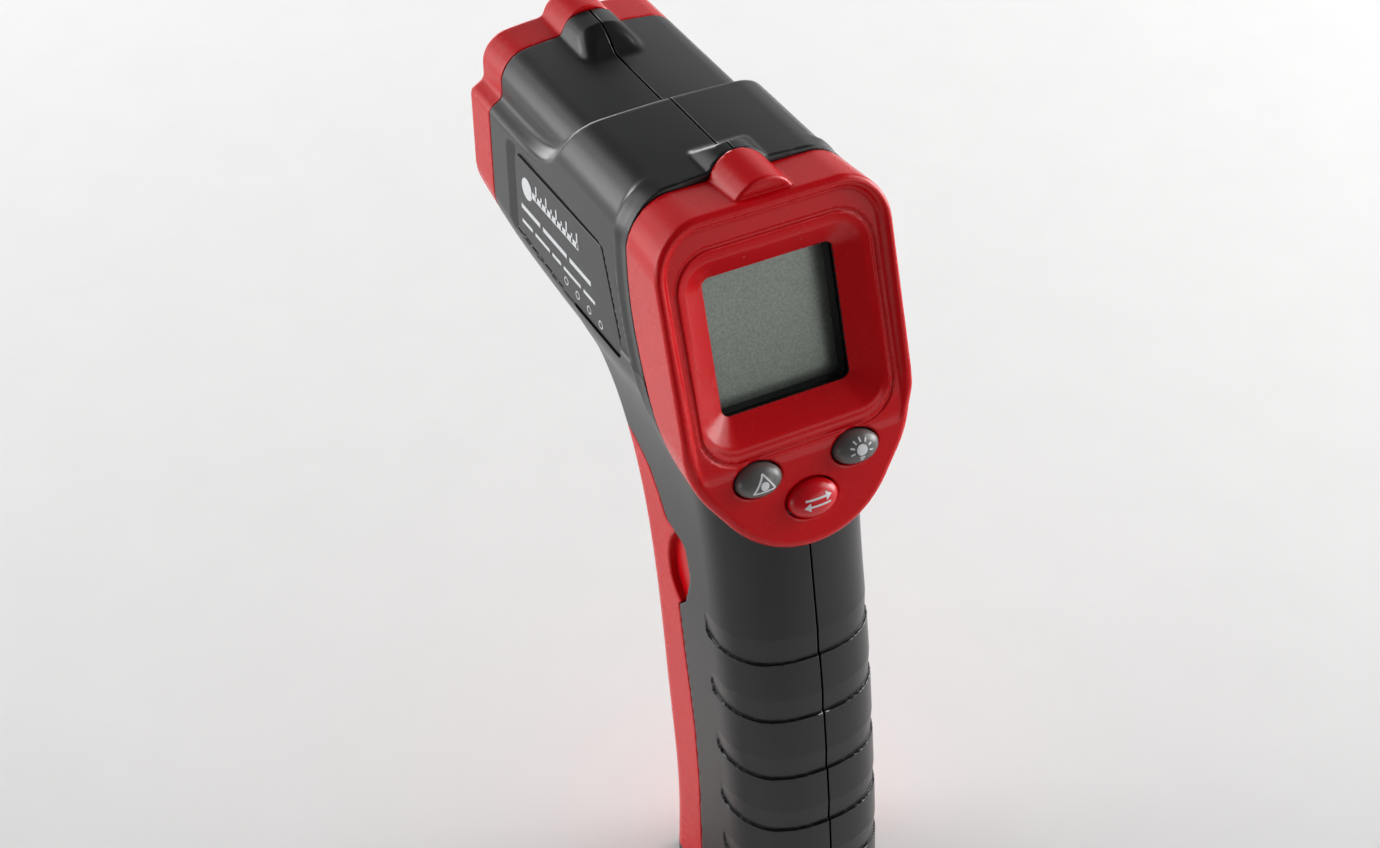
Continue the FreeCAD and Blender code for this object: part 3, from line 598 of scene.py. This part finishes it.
def cell_vertices(points, normals, quads):
    """One vertex for each cell, where its crossings' tangent planes come nearest to meeting.

    Returns the cells used, their vertices, the quads by vertex, and whether each cell's normals agree.
    """
    used, index = np.unique(quads, return_inverse=True)
    quads = index.reshape(-1, 4)
    count = len(used)
    flat_ids = quads.ravel()
    source = np.repeat(np.arange(len(points)), 4)

    def gather(values):
        return np.bincount(flat_ids, values[source], count)

    hits = np.bincount(flat_ids, minlength=count).astype(float)
    centre = np.stack([gather(points[:, i]) for i in range(3)], 1) / hits[:, None]
    offset = np.einsum("ij,ij->i", normals[source], points[source] - centre[flat_ids])
    ata = np.zeros((count, 3, 3))
    atb = np.zeros((count, 3))
    mean = np.zeros((count, 3))
    for i in range(3):
        atb[:, i] = np.bincount(flat_ids, normals[source, i] * offset, count)
        mean[:, i] = gather(normals[:, i])
        for j in range(i, 3):
            ata[:, i, j] = ata[:, j, i] = gather(normals[:, i] * normals[:, j])
    ata += np.eye(3) * (0.04 * hits)[:, None, None]
    verts = centre + np.linalg.solve(ata, atb[:, :, None])[:, :, 0]
    return used, verts, quads, np.linalg.norm(mean, axis=1) / hits > 0.985


def mesh_field(field, gx, gy, gz):
    """Dual contouring: returns vertices in mm, quads and a normal for each quad corner."""
    axes = (gx, gy, gz)
    samples = (gx[:, None, None], gy[None, :, None], gz[None, None, :])
    grid = field(*(part.astype(np.float32) for part in samples))
    grid = np.broadcast_to(grid, (len(gx), len(gy), len(gz)))
    found = [crossings(field, grid, axes, axis) for axis in range(3)]
    points, normals, quads = (np.concatenate(part) for part in zip(*found))
    used, verts, quads, coherent = cell_vertices(points, normals, quads)
    cells = np.stack(np.unravel_index(used, tuple(n - 1 for n in grid.shape)), 1)
    for k in range(3):
        verts[:, k] = np.clip(verts[:, k], axes[k][cells[:, k]], axes[k][cells[:, k] + 1])
    own = unit(gradient(field, verts))
    value = field(verts[:, 0], verts[:, 1], verts[:, 2])
    move = np.where(coherent, np.clip(value, -0.2, 0.2), 0)
    verts = verts - own * move[:, None]
    corner_normals = own[quads]
    rough = ~coherent[quads].all(1)
    middle = verts[quads[rough]].mean(1, keepdims=True)
    near = verts[quads[rough]] * 0.72 + middle * 0.28
    corner_normals[rough] = unit(gradient(field, near.reshape(-1, 3), 0.03)).reshape(-1, 4, 3)
    return verts, quads, corner_normals


def new_object(name, verts, faces, normals=None, smooth=True):
    """An object from vertices in mm; an array of quads may bring a normal for each corner."""
    mesh = bpy.data.meshes.new(name)
    verts = np.asarray(verts, float) * MM
    if isinstance(faces, np.ndarray):
        mesh.vertices.add(len(verts))
        mesh.vertices.foreach_set("co", verts.astype(np.float32).ravel())
        mesh.loops.add(faces.size)
        mesh.loops.foreach_set("vertex_index", faces.astype(np.int32).ravel())
        mesh.polygons.add(len(faces))
        mesh.polygons.foreach_set("loop_start", np.arange(0, faces.size, faces.shape[1], dtype=np.int32))
        mesh.update(calc_edges=True)
    else:
        mesh.from_pydata([tuple(v) for v in verts], [], [tuple(f) for f in faces])
    mesh.validate()
    mesh.polygons.foreach_set("use_smooth", [smooth] * len(mesh.polygons))
    if normals is not None and len(mesh.loops) == len(normals.reshape(-1, 3)):
        mesh.normals_split_custom_set(normals.reshape(-1, 3).tolist())
    mesh.update()
    obj = bpy.data.objects.new(name, mesh)
    bpy.context.scene.collection.objects.link(obj)
    return obj


def finish_piece(obj, body, slot, material, nodes=()):
    """Gives a piece its material and body, and hides the CAD nodes it stands for; slot is not used."""
    obj.data.materials.clear()
    obj.data.materials.append(material)
    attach(obj, body)
    if nodes:
        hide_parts(*nodes)
    return obj


def field_piece(name, field, gx, gy, gz, body, slot, node_name):
    """A piece meshed from its field, in its slot's own finish, standing for one CAD node."""
    verts, quads, normals = mesh_field(field, gx, gy, gz)
    return finish_piece(new_object(name, verts, quads, normals), body, slot, mat[slot], [node_name])


# ---------------------------------------------------------------- materials

def new_material(name):
    """A principled material, with object coordinates for its textures."""
    material = bpy.data.materials.new(name)
    material.use_nodes = True
    tree = material.node_tree
    tree.nodes.clear()
    out = tree.nodes.new("ShaderNodeOutputMaterial")
    shader = tree.nodes.new("ShaderNodeBsdfPrincipled")
    tree.links.new(shader.outputs["BSDF"], out.inputs["Surface"])
    coords = tree.nodes.new("ShaderNodeTexCoord")
    return material, tree, shader, coords.outputs["Object"]


def noise(tree, vector, scale, detail=3.0, roughness=0.5):
    node = tree.nodes.new("ShaderNodeTexNoise")
    node.inputs["Scale"].default_value = scale
    node.inputs["Detail"].default_value = detail
    node.inputs["Roughness"].default_value = roughness
    tree.links.new(vector, node.inputs["Vector"])
    return node.outputs["Fac"]


def ramp(tree, value, low, high, colour_low, colour_high):
    node = tree.nodes.new("ShaderNodeValToRGB")
    node.color_ramp.elements[0].position = low
    node.color_ramp.elements[1].position = high
    node.color_ramp.elements[0].color = (*colour_low, 1)
    node.color_ramp.elements[1].color = (*colour_high, 1)
    tree.links.new(value, node.inputs["Fac"])
    return node.outputs["Color"]


def spread(tree, value, low, high):
    node = tree.nodes.new("ShaderNodeMapRange")
    node.inputs["To Min"].default_value = low
    node.inputs["To Max"].default_value = high
    tree.links.new(value, node.inputs["Value"])
    return node.outputs["Result"]


def bump(tree, shader, height, strength, distance):
    node = tree.nodes.new("ShaderNodeBump")
    node.inputs["Strength"].default_value = strength
    node.inputs["Distance"].default_value = distance
    tree.links.new(height, node.inputs["Height"])
    tree.links.new(node.outputs["Normal"], shader.inputs["Normal"])


def linear(r, g, b):
    return tuple(((c / 255 + 0.055) / 1.055) ** 2.4 if c > 10 else c / 255 / 12.92 for c in (r, g, b))


def plastic(name, colour, rough=0.4, vary=0.06, grain=5200, depth=0.00003, strength=0.35, metallic=0.0,
            coat=0.0, tone=0.08, specular=0.5):
    """Moulded or metal surface with fine grain, uneven sheen and slight uneven tone."""
    material, tree, shader, vector = new_material(name)
    base = noise(tree, vector, 55, 4)
    dark = tuple(c * (1 - tone) for c in colour)
    light = tuple(min(c * (1 + tone), 1) for c in colour)
    tree.links.new(ramp(tree, base, 0.3, 0.7, dark, light), shader.inputs["Base Color"])
    sheen = noise(tree, vector, 240, 3)
    tree.links.new(spread(tree, sheen, rough - vary, rough + vary), shader.inputs["Roughness"])
    shader.inputs["Metallic"].default_value = metallic
    shader.inputs["Specular IOR Level"].default_value = specular
    shader.inputs["Coat Weight"].default_value = coat
    shader.inputs["Coat Roughness"].default_value = 0.08
    bump(tree, shader, noise(tree, vector, grain, 2, 0.6), strength, depth)
    return material


RED = linear(200, 1, 12)
mat = {
    "casing_black": plastic("casing_black", linear(14, 14, 15), 0.3, 0.02, 2400, 0.00003, 0.2, specular=0.55),
    "shell_red": plastic("shell_red", RED, 0.27, 0.02, 2400, 0.00003, 0.25, tone=0.04, specular=0.3),
    "trigger_black": plastic("trigger_black", linear(34, 35, 37), 0.38),
    "front_black": plastic("front_black", linear(28, 28, 30), 0.45),
    "label_film": plastic("label_film", linear(24, 25, 27), 0.3, 0.04, 2600, 0.00002, 0.2),
    "mark_white": plastic("mark_white", linear(214, 216, 218), 0.5, tone=0.04),
    "backlight_white": plastic("backlight_white", linear(225, 228, 226), 0.5),
    "board_green": plastic("board_green", linear(24, 92, 52), 0.35, grain=900),
    "key_grey": plastic("key_grey", linear(92, 92, 90), 0.3, 0.04, 3000, 0.00002, 0.2),
    "key_red": plastic("key_red", linear(205, 5, 22), 0.26, 0.04, 3000, 0.00002, 0.2, tone=0.04),
    "mat_rubber": plastic("mat_rubber", linear(120, 122, 124), 0.7, grain=1800),
    "steel": plastic("steel", linear(180, 182, 186), 0.28, 0.08, 2500, 0.00002, 0.3, metallic=1.0),
    "component_black": plastic("component_black", linear(26, 26, 28), 0.5, grain=2500),
    "cell_sleeve": plastic("cell_sleeve", linear(168, 132, 60), 0.3, 0.05, 1600, 0.00002, 0.2),
    "tray_black": plastic("tray_black", linear(30, 30, 32), 0.55),
    "lens_white": plastic("lens_white", linear(206, 208, 210), 0.35, grain=1500),
    "laser_brass": plastic("laser_brass", linear(196, 160, 84), 0.3, metallic=1.0),
    "lens_red": plastic("lens_red", linear(150, 10, 18), 0.1, 0.03, coat=0.6),
}


def display_material():
    """A reflective display: grey-green with a fine frosted grain."""
    material, tree, shader, vector = new_material("lcd")
    fine = noise(tree, vector, 2300, 2, 0.7)
    colour = ramp(tree, fine, 0.36, 0.64, linear(136, 141, 134), linear(156, 161, 153))
    tree.links.new(colour, shader.inputs["Base Color"])
    wide = noise(tree, vector, 160, 3)
    tree.links.new(spread(tree, wide, 0.3, 0.36), shader.inputs["Roughness"])
    shader.inputs["Metallic"].default_value = 0.6
    bump(tree, shader, fine, 0.4, 0.00003)
    return material


def window_material():
    """Clear moulded window: nearly invisible, with a faint uneven reflection."""
    material, tree, shader, vector = new_material("clear_window")
    shader.inputs["Transmission Weight"].default_value = 1.0
    shader.inputs["IOR"].default_value = 1.08
    tint = ramp(tree, noise(tree, vector, 90, 2), 0.3, 0.7, (0.93, 0.95, 0.94), (0.97, 0.98, 0.97))
    tree.links.new(tint, shader.inputs["Base Color"])
    tree.links.new(spread(tree, noise(tree, vector, 300, 2), 0.0, 0.04), shader.inputs["Roughness"])
    return material


mat["lcd"] = display_material()
mat["clear_window"] = window_material()

slots = {row["node"]: row["material_slot"] for row in frame["record"]["subparts"]}
for node_name, node in frame["nodes"].items():
    slot_name = slots.get(node_name, "casing_black")
    node.data.materials.clear()
    node.data.materials.append(mat.get(slot_name, mat["casing_black"]))


# ---------------------------------------------------------------- shell pieces

casing_y = lines(-17.2, 76.6)
casing_z = lines(-0.9, 154.2, fine=[(strong - 0.3, 0.8, 0.2) for _, strong in GROOVES])
left_x = lines(-22.3, 0.6, fine=[(-0.3, 0.5, 0.125)])
right_x = lines(-0.6, 22.3, fine=[(0.3, 0.5, 0.125)])
field_piece("casing_left_shell", left_casing, left_x, casing_y, casing_z,
            "casing", "casing_black", "left_casing")
field_piece("casing_right_shell", right_casing, right_x, casing_y, casing_z,
            "casing", "casing_black", "right_casing")
bezel_shell = field_piece("bezel_shell", bezel, lines(-22.3, 22.3, BEZEL_STEP), lines(-7.5, 24.5, BEZEL_STEP),
                          lines(90.5, 154.2, BEZEL_STEP), "casing", "shell_red", "display_bezel")
nose_x, nose_z = lines(-20.6, 20.6), lines(107.4, 153.6)
field_piece("nose_ring_shell", nose_ring, nose_x, lines(74.8, 85.2, NOSE_STEP), nose_z,
            "casing", "shell_red", "nose_ring")
field_piece("nose_wall", nose_plate, nose_x, lines(79, 82.8, NOSE_STEP), nose_z,
            "casing", "front_black", "nose_plate")
field_piece("door_shell", battery_door, lines(-15.6, 15.6), lines(4.0, 43), lines(1.6, 97.2),
            "battery_door", "shell_red", "battery_door")
field_piece("trigger_blade", trigger, lines(-8.2, 8.2), lines(30.8, 47.2), lines(65.2, 106.5),
            "trigger", "trigger_black", "trigger")


def paint_window_seat_shade(shell):
    """The bezel's seat behind the window takes a black finish as painted shade, so that the display has a
    dark edge.
    """
    shell.data.materials.append(mat["front_black"])
    for face in shell.data.polygons:
        px, py, pz = (c / MM for c in face.center)
        # painted shade: the window seat's faces get the black finish
        if face_w(py, pz) < -0.2 and max(abs(px), abs(face_v(py, pz))) < 13.4:
            face.material_index = 1


paint_window_seat_shade(bezel_shell)


# ---------------------------------------------------------------- trigger spring

def wire_coil(radius, wire, start, length, turns, per_turn=32, sides=8):
    """A coil spring laid along +Y from start, as a swept round wire."""
    verts, faces = [], []
    count = turns * per_turn + 1
    slope = length / turns / (2 * math.pi * radius)
    for i in range(count):
        t = 2 * math.pi * i / per_turn
        out = np.array([math.cos(t), 0.0, -math.sin(t)])
        along = unit(np.array([[-math.sin(t), slope, -math.cos(t)]]))[0]
        side = np.cross(along, out)
        middle = np.array(start) + out * radius + np.array([0, length * i / (count - 1), 0])
        for k in range(sides):
            a = 2 * math.pi * k / sides
            verts.append(tuple(middle + wire * (math.cos(a) * out + math.sin(a) * side)))
    for i in range(count - 1):
        for k in range(sides):
            a, b = i * sides + k, i * sides + (k + 1) % sides
            faces.append((a, b, b + sides, a + sides))
    faces.append(tuple(reversed(range(sides))))
    faces.append(tuple(range((count - 1) * sides, count * sides)))
    return new_object("trigger_spring_coil", verts, faces)


spring_coil = wire_coil(2.15, 0.25, (0, SPRING_Y + 0.3, SPRING_Z), 10.9, 6)
finish_piece(spring_coil, "casing", "steel", mat["steel"], ["trigger_spring"])
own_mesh(spring_coil)


# ---------------------------------------------------------------- keys and their marks

def lathe(profile, count, place):
    """A solid of revolution about w from (radius, level) points; the first and last are on the axis."""
    verts, faces = [place(0, 0, profile[0][1])], []
    rings = profile[1:-1]
    for r, w in rings:
        for i in range(count):
            a = 2 * math.pi * i / count
            verts.append(place(r * math.cos(a), r * math.sin(a), w))
    verts.append(place(0, 0, profile[-1][1]))
    last = len(verts) - 1
    for i in range(count):
        j = (i + 1) % count
        faces.append((0, 1 + i, 1 + j))
        for k in range(len(rings) - 1):
            a, b = 1 + k * count, 1 + (k + 1) * count
            faces.append((a + i, b + i, b + j, a + j))
        a = 1 + (len(rings) - 1) * count
        faces.append((a + i, last, a + j))
    return verts, faces


def dome_level(grow):
    """Height of a key's domed top over its middle, as a function of (a, b)."""
    def level(a, b):
        rho = min(math.hypot(a / (KEY_U + grow), b / (KEY_V + grow)), 1.0)
        return KEY_EDGE + (KEY_TOP - KEY_EDGE) * math.sqrt(1 - rho * rho)
    return level


def key_cap(name, u, v, grow, slot_name):
    """An oval domed key with its hidden flange."""
    rise = KEY_TOP - KEY_EDGE
    profile = [(0, KEY_TOP)]
    profile += [(math.sin(t), KEY_EDGE + rise * math.cos(t)) for t in np.linspace(0.06, math.pi / 2, 24)]
    profile += [(1.0, 0.5), (1.0, -2.3), (1.18, -2.3), (1.18, -3.3), (0, -3.3)]

    def place(a, b, w):
        return face_point(u + a * (KEY_U + grow), v + b * (KEY_V + grow), w)

    verts, faces = lathe(profile, 84, place)
    obj = new_object(name + "_cap", verts, faces)
    obj.data.set_sharp_from_angle(angle=math.radians(50))
    return finish_piece(obj, name, slot_name, mat[slot_name], [name])


def stamp(name, polygons, place, front, back, body, slot_name):
    """Raised white print: each polygon becomes a thin prism from place(a, b, front) to place(a, b, back)."""
    verts, faces = [], []
    for points in polygons:
        start = len(verts)
        n = len(points)
        for depth in (front, back):
            verts.extend(place(a, b, depth) for a, b in points)
        faces.append(tuple(range(start, start + n)))
        faces.append(tuple(reversed(range(start + n, start + 2 * n))))
        for i in range(n):
            j = (i + 1) % n
            faces.append((start + i, start + n + i, start + n + j, start + j))
    obj = new_object(name, verts, faces, smooth=False)
    return finish_piece(obj, body, slot_name, mat["mark_white"])


def key_mark(name, polygons, u, v, grow, slot_name):
    """Print that follows a key's dome; the polygons' points are about the key's middle."""
    level = dome_level(grow)

    def place(a, b, lift):
        return face_point(u + a, v + b, level(a, b) + lift)

    stamp(name + "_mark", polygons, place, 0.06, -0.12, name, slot_name)


def bar(a0, b0, a1, b1, width, cuts=3):
    """A straight stroke as short quads, so that it follows a dome."""
    run = math.hypot(a1 - a0, b1 - b0)
    nx, ny = -(b1 - b0) / run * width / 2, (a1 - a0) / run * width / 2
    out = []
    for i in range(cuts):
        pa, pb = a0 + (a1 - a0) * i / cuts, b0 + (b1 - b0) * i / cuts
        qa, qb = a0 + (a1 - a0) * (i + 1) / cuts, b0 + (b1 - b0) * (i + 1) / cuts
        out.append([(pa - nx, pb - ny), (qa - nx, qb - ny), (qa + nx, qb + ny), (pa + nx, pb + ny)])
    return out


def chain(corners, width, cuts):
    """Strokes along a closed line of corners."""
    out = []
    for (a0, b0), (a1, b1) in zip(corners, corners[1:] + corners[:1]):
        out += bar(a0, b0, a1, b1, width, cuts)
    return out


def ring(a, b, r, width, count=16):
    """A round stroke of outer radius r, as short quads."""
    def at(radius, i):
        turn = 2 * math.pi * i / count
        return a + radius * math.cos(turn), b + radius * math.sin(turn)

    return [[at(r - width, i), at(r, i), at(r, i + 1), at(r - width, i + 1)] for i in range(count)]


def dot(a, b, r, count=16):
    """A filled disc, as three touching rings so that it follows a dome."""
    return [quad for share in (3, 2, 1) for quad in ring(a, b, r * share / 3, r / 3, count)]


def arrow_head(a, b, reach, half, cuts=5):
    """A solid triangle pointing along a, as thin slices."""
    out = []
    for i in range(cuts):
        s, e = i / cuts, (i + 1) / cuts
        for side in (-1, 1):
            out.append([(a + reach * s, b), (a + reach * e, b), (a + reach * e, b + side * half * (1 - e)),
                        (a + reach * s, b + side * half * (1 - s))][::side])
    return out


def laser_mark():
    """A triangle with a dot."""
    return chain([(-2.0, -1.35), (2.0, -1.35), (0, 1.75)], 0.32, 10) + dot(0, -0.35, 0.78)


def light_mark():
    """A bulb with its cap and seven rays."""
    bulb = 0.1
    out = dot(0, bulb, 1.0)
    out += bar(-0.45, -1.25, 0.45, -1.25, 0.34, 1)
    out += bar(-0.32, -1.72, 0.32, -1.72, 0.26, 1)
    for i in range(7):
        angle = math.radians(-15 + 35 * i)
        da, db = math.cos(angle), math.sin(angle)
        out += bar(1.4 * da, bulb + 1.4 * db, 2.1 * da, bulb + 2.1 * db, 0.3, 1)
    return out


def unit_mark():
    """Two opposite arrows."""
    out = []
    for side in (-1, 1):
        out += bar(-2.3 * side, 0.62 * side, 1.6 * side, 0.62 * side, 0.36, 5)
        out += arrow_head(1.5 * side, 0.62 * side, 1.15 * side, 0.8 * side)
    return out


marks = {"laser_button": laser_mark, "light_button": light_mark, "unit_button": unit_mark}
for key_name, (ku, kv, grow) in KEYS.items():
    slot_name = "key_red" if key_name == "unit_button" else "key_grey"
    key_cap(key_name, ku, kv, grow, slot_name)
    key_mark(key_name, marks[key_name](), ku, kv, grow, slot_name)


# ---------------------------------------------------------------- label panels

def inset_polygon(points, by):
    """Moves each side of a convex (y, z) polygon inwards."""
    centre = np.mean(points, 0)
    out = []
    count = len(points)
    for i in range(count):
        p0, p1, p2 = (np.array(points[(i + k) % count], float) for k in (-1, 0, 1))
        e1, e2 = unit((p1 - p0)[None])[0], unit((p2 - p1)[None])[0]
        n1, n2 = np.array([-e1[1], e1[0]]), np.array([-e2[1], e2[0]])
        if n1 @ (centre - p1) < 0:
            n1, n2 = -n1, -n2
        out.append(tuple(p1 + (n1 + n2) * by / (1 + n1 @ n2)))
    return out


def label_film(side, name, node_name):
    """The label's film, with a bevelled edge."""
    ring0 = inset_polygon(rounded(LABEL, 5), 0.35)
    ring1 = inset_polygon(ring0, 0.12)
    n = len(ring0)
    levels = [(FILM_BASE, ring0), (FILM_EDGE, ring0), (FILM_FACE, ring1)]
    verts = [(side * x, y, z) for x, loop in levels for y, z in loop]
    faces = []
    for k in range(2):
        for i in range(n):
            j = (i + 1) % n
            face = (k * n + i, k * n + j, (k + 1) * n + j, (k + 1) * n + i)
            faces.append(face if side < 0 else face[::-1])
    top = tuple(range(2 * n, 3 * n))
    base = tuple(range(n))
    faces.append(top if side < 0 else top[::-1])
    faces.append(base[::-1] if side < 0 else base)
    obj = new_object(name, verts, faces, smooth=False)
    finish_piece(obj, "casing", "label_film", mat["label_film"], [node_name])


def label_print():
    """A plain thermometer scale, two rows of dashes and four rings, as (y, z) polygons."""
    bulb_y, scale_z = 60.8, 129.4
    out = dot(bulb_y, scale_z, 2.1, 24) + bar(bulb_y - 1.8, scale_z, 40.5, scale_z, 1.3, 1)
    for k in range(9):
        tick_y = 57.0 - 2.0 * k
        tall = 3.0 if k % 2 == 0 else 1.9
        out += bar(tick_y, 129.0, tick_y, 129.0 + tall, 0.5, 1)
    rows = ((124.7, 0.95, (7.6, 9.4, 8.2)), (121.6, 0.7, (4.2, 5.8, 3.4, 6.6, 4.4)))
    for z, thick, dashes in rows:
        y = 63.5
        for length in dashes:
            out += bar(y, z, y - length, z, thick, 1)
            y -= length + 1.1
    for k in range(4):
        out += ring(46.0 - 4.4 * k, 119.3 - 0.28 * k, 0.8, 0.22)
    return out


for side, side_name in ((-1, "left"), (1, "right")):
    label_film(side, "label_panel_" + side_name, "label_" + side_name)
    stamp("label_panel_" + side_name + "_print", label_print(), lambda y, z, x: (side * x, y, z),
          PRINT_FRONT, PRINT_BACK, "casing", "label_film")


# ---------------------------------------------------------------- floor, light and camera

def floor():
    """A flat floor of pale paper, which reaches further ahead of the object than behind it."""
    count = 40
    side, near, depth = 1400, -320, 2400
    verts, faces = [], []
    for i in range(count + 1):
        for j in range(count + 1):
            verts.append((-side + 2 * side * i / count, near + depth * j / count, -0.6))
    for i in range(count):
        for j in range(count):
            a = i * (count + 1) + j
            faces.append((a, a + count + 1, a + count + 2, a + 1))
    obj = new_object("floor", verts, faces, smooth=False)
    paper = plastic("floor_paper", linear(232, 232, 231), 0.85, 0.03, 900, 0.00005, 0.15, tone=0.01)
    obj.data.materials.append(paper)


floor()


# Each softbox: where it stands, its two sides in metres, and its power in watts
AIM = (0, 0.03, 0.09)
LIGHTS = {
    "softbox_left_front": ((-0.8, 0.65, 0.25), (0.6, 0.6), 5.2),
    "softbox_left_high": ((-0.6, 0.6, 0.75), (0.6, 0.5), 2.2),
    "softbox_left": ((-1.05, 0.0, 0.12), (0.8, 0.6), 3.0),
    "backdrop": ((0.0, 1.1, 0.3), (0.8, 0.5), 5.9),
    "backdrop_right": ((0.65, 0.8, 0.4), (0.6, 0.6), 0.7),
    "softbox_right": ((1.1, 0.0, 0.2), (0.8, 0.6), 13.0),
    "softbox_right_high": ((0.95, -0.1, 0.6), (0.7, 0.6), 5.6),
    "fill_right_near": ((0.85, -0.7, 0.35), (0.6, 0.6), 1.5),
    "fill_near": ((0.45, -1.0, 0.3), (0.6, 0.5), 1.2),
    "spot_small": ((0.5, -0.62, 0.28), (0.05, 0.035), 0.12),
}


def area_light(name, place, size, power):
    data = bpy.data.lights.new(name, "AREA")
    data.shape = "RECTANGLE"
    data.size, data.size_y = size
    data.energy = power
    obj = bpy.data.objects.new(name, data)
    obj.location = place
    obj.rotation_euler = (Vector(AIM) - Vector(place)).to_track_quat("-Z", "Y").to_euler()
    bpy.context.scene.collection.objects.link(obj)


for light_name, (place, size, power) in LIGHTS.items():
    area_light(light_name, place, size, power)

world = bpy.data.worlds.new("studio")
world.use_nodes = True
world.node_tree.nodes["Background"].inputs["Color"].default_value = (0.93, 0.95, 1.0, 1)
world.node_tree.nodes["Background"].inputs["Strength"].default_value = 0.12
bpy.context.scene.world = world


def add_camera():
    """A camera behind and above, turned to the left and rolled a little, with a long lens."""
    azimuth, elevation, roll = math.radians(27.5), math.radians(38.5), math.radians(0.6)
    level = math.cos(elevation)
    back = Vector((-math.sin(azimuth) * level, -math.cos(azimuth) * level, math.sin(elevation)))
    right = (-back).cross(Vector((0, 0, 1))).normalized()
    down = (-back).cross(right).normalized()
    axis_x = math.cos(roll) * right + math.sin(roll) * down
    axis_y = math.sin(roll) * right - math.cos(roll) * down
    turn = Matrix((axis_x, axis_y, back)).transposed().to_4x4()
    data = bpy.data.cameras.new("camera")
    data.lens = 64.22
    data.sensor_width = 36
    camera = bpy.data.objects.new("camera", data)
    camera.matrix_world = Matrix.Translation((-0.1603, -0.2692, 0.3618)) @ turn
    bpy.context.scene.collection.objects.link(camera)
    bpy.context.scene.camera = camera


add_camera()
bpy.context.scene.view_settings.view_transform = "Standard"
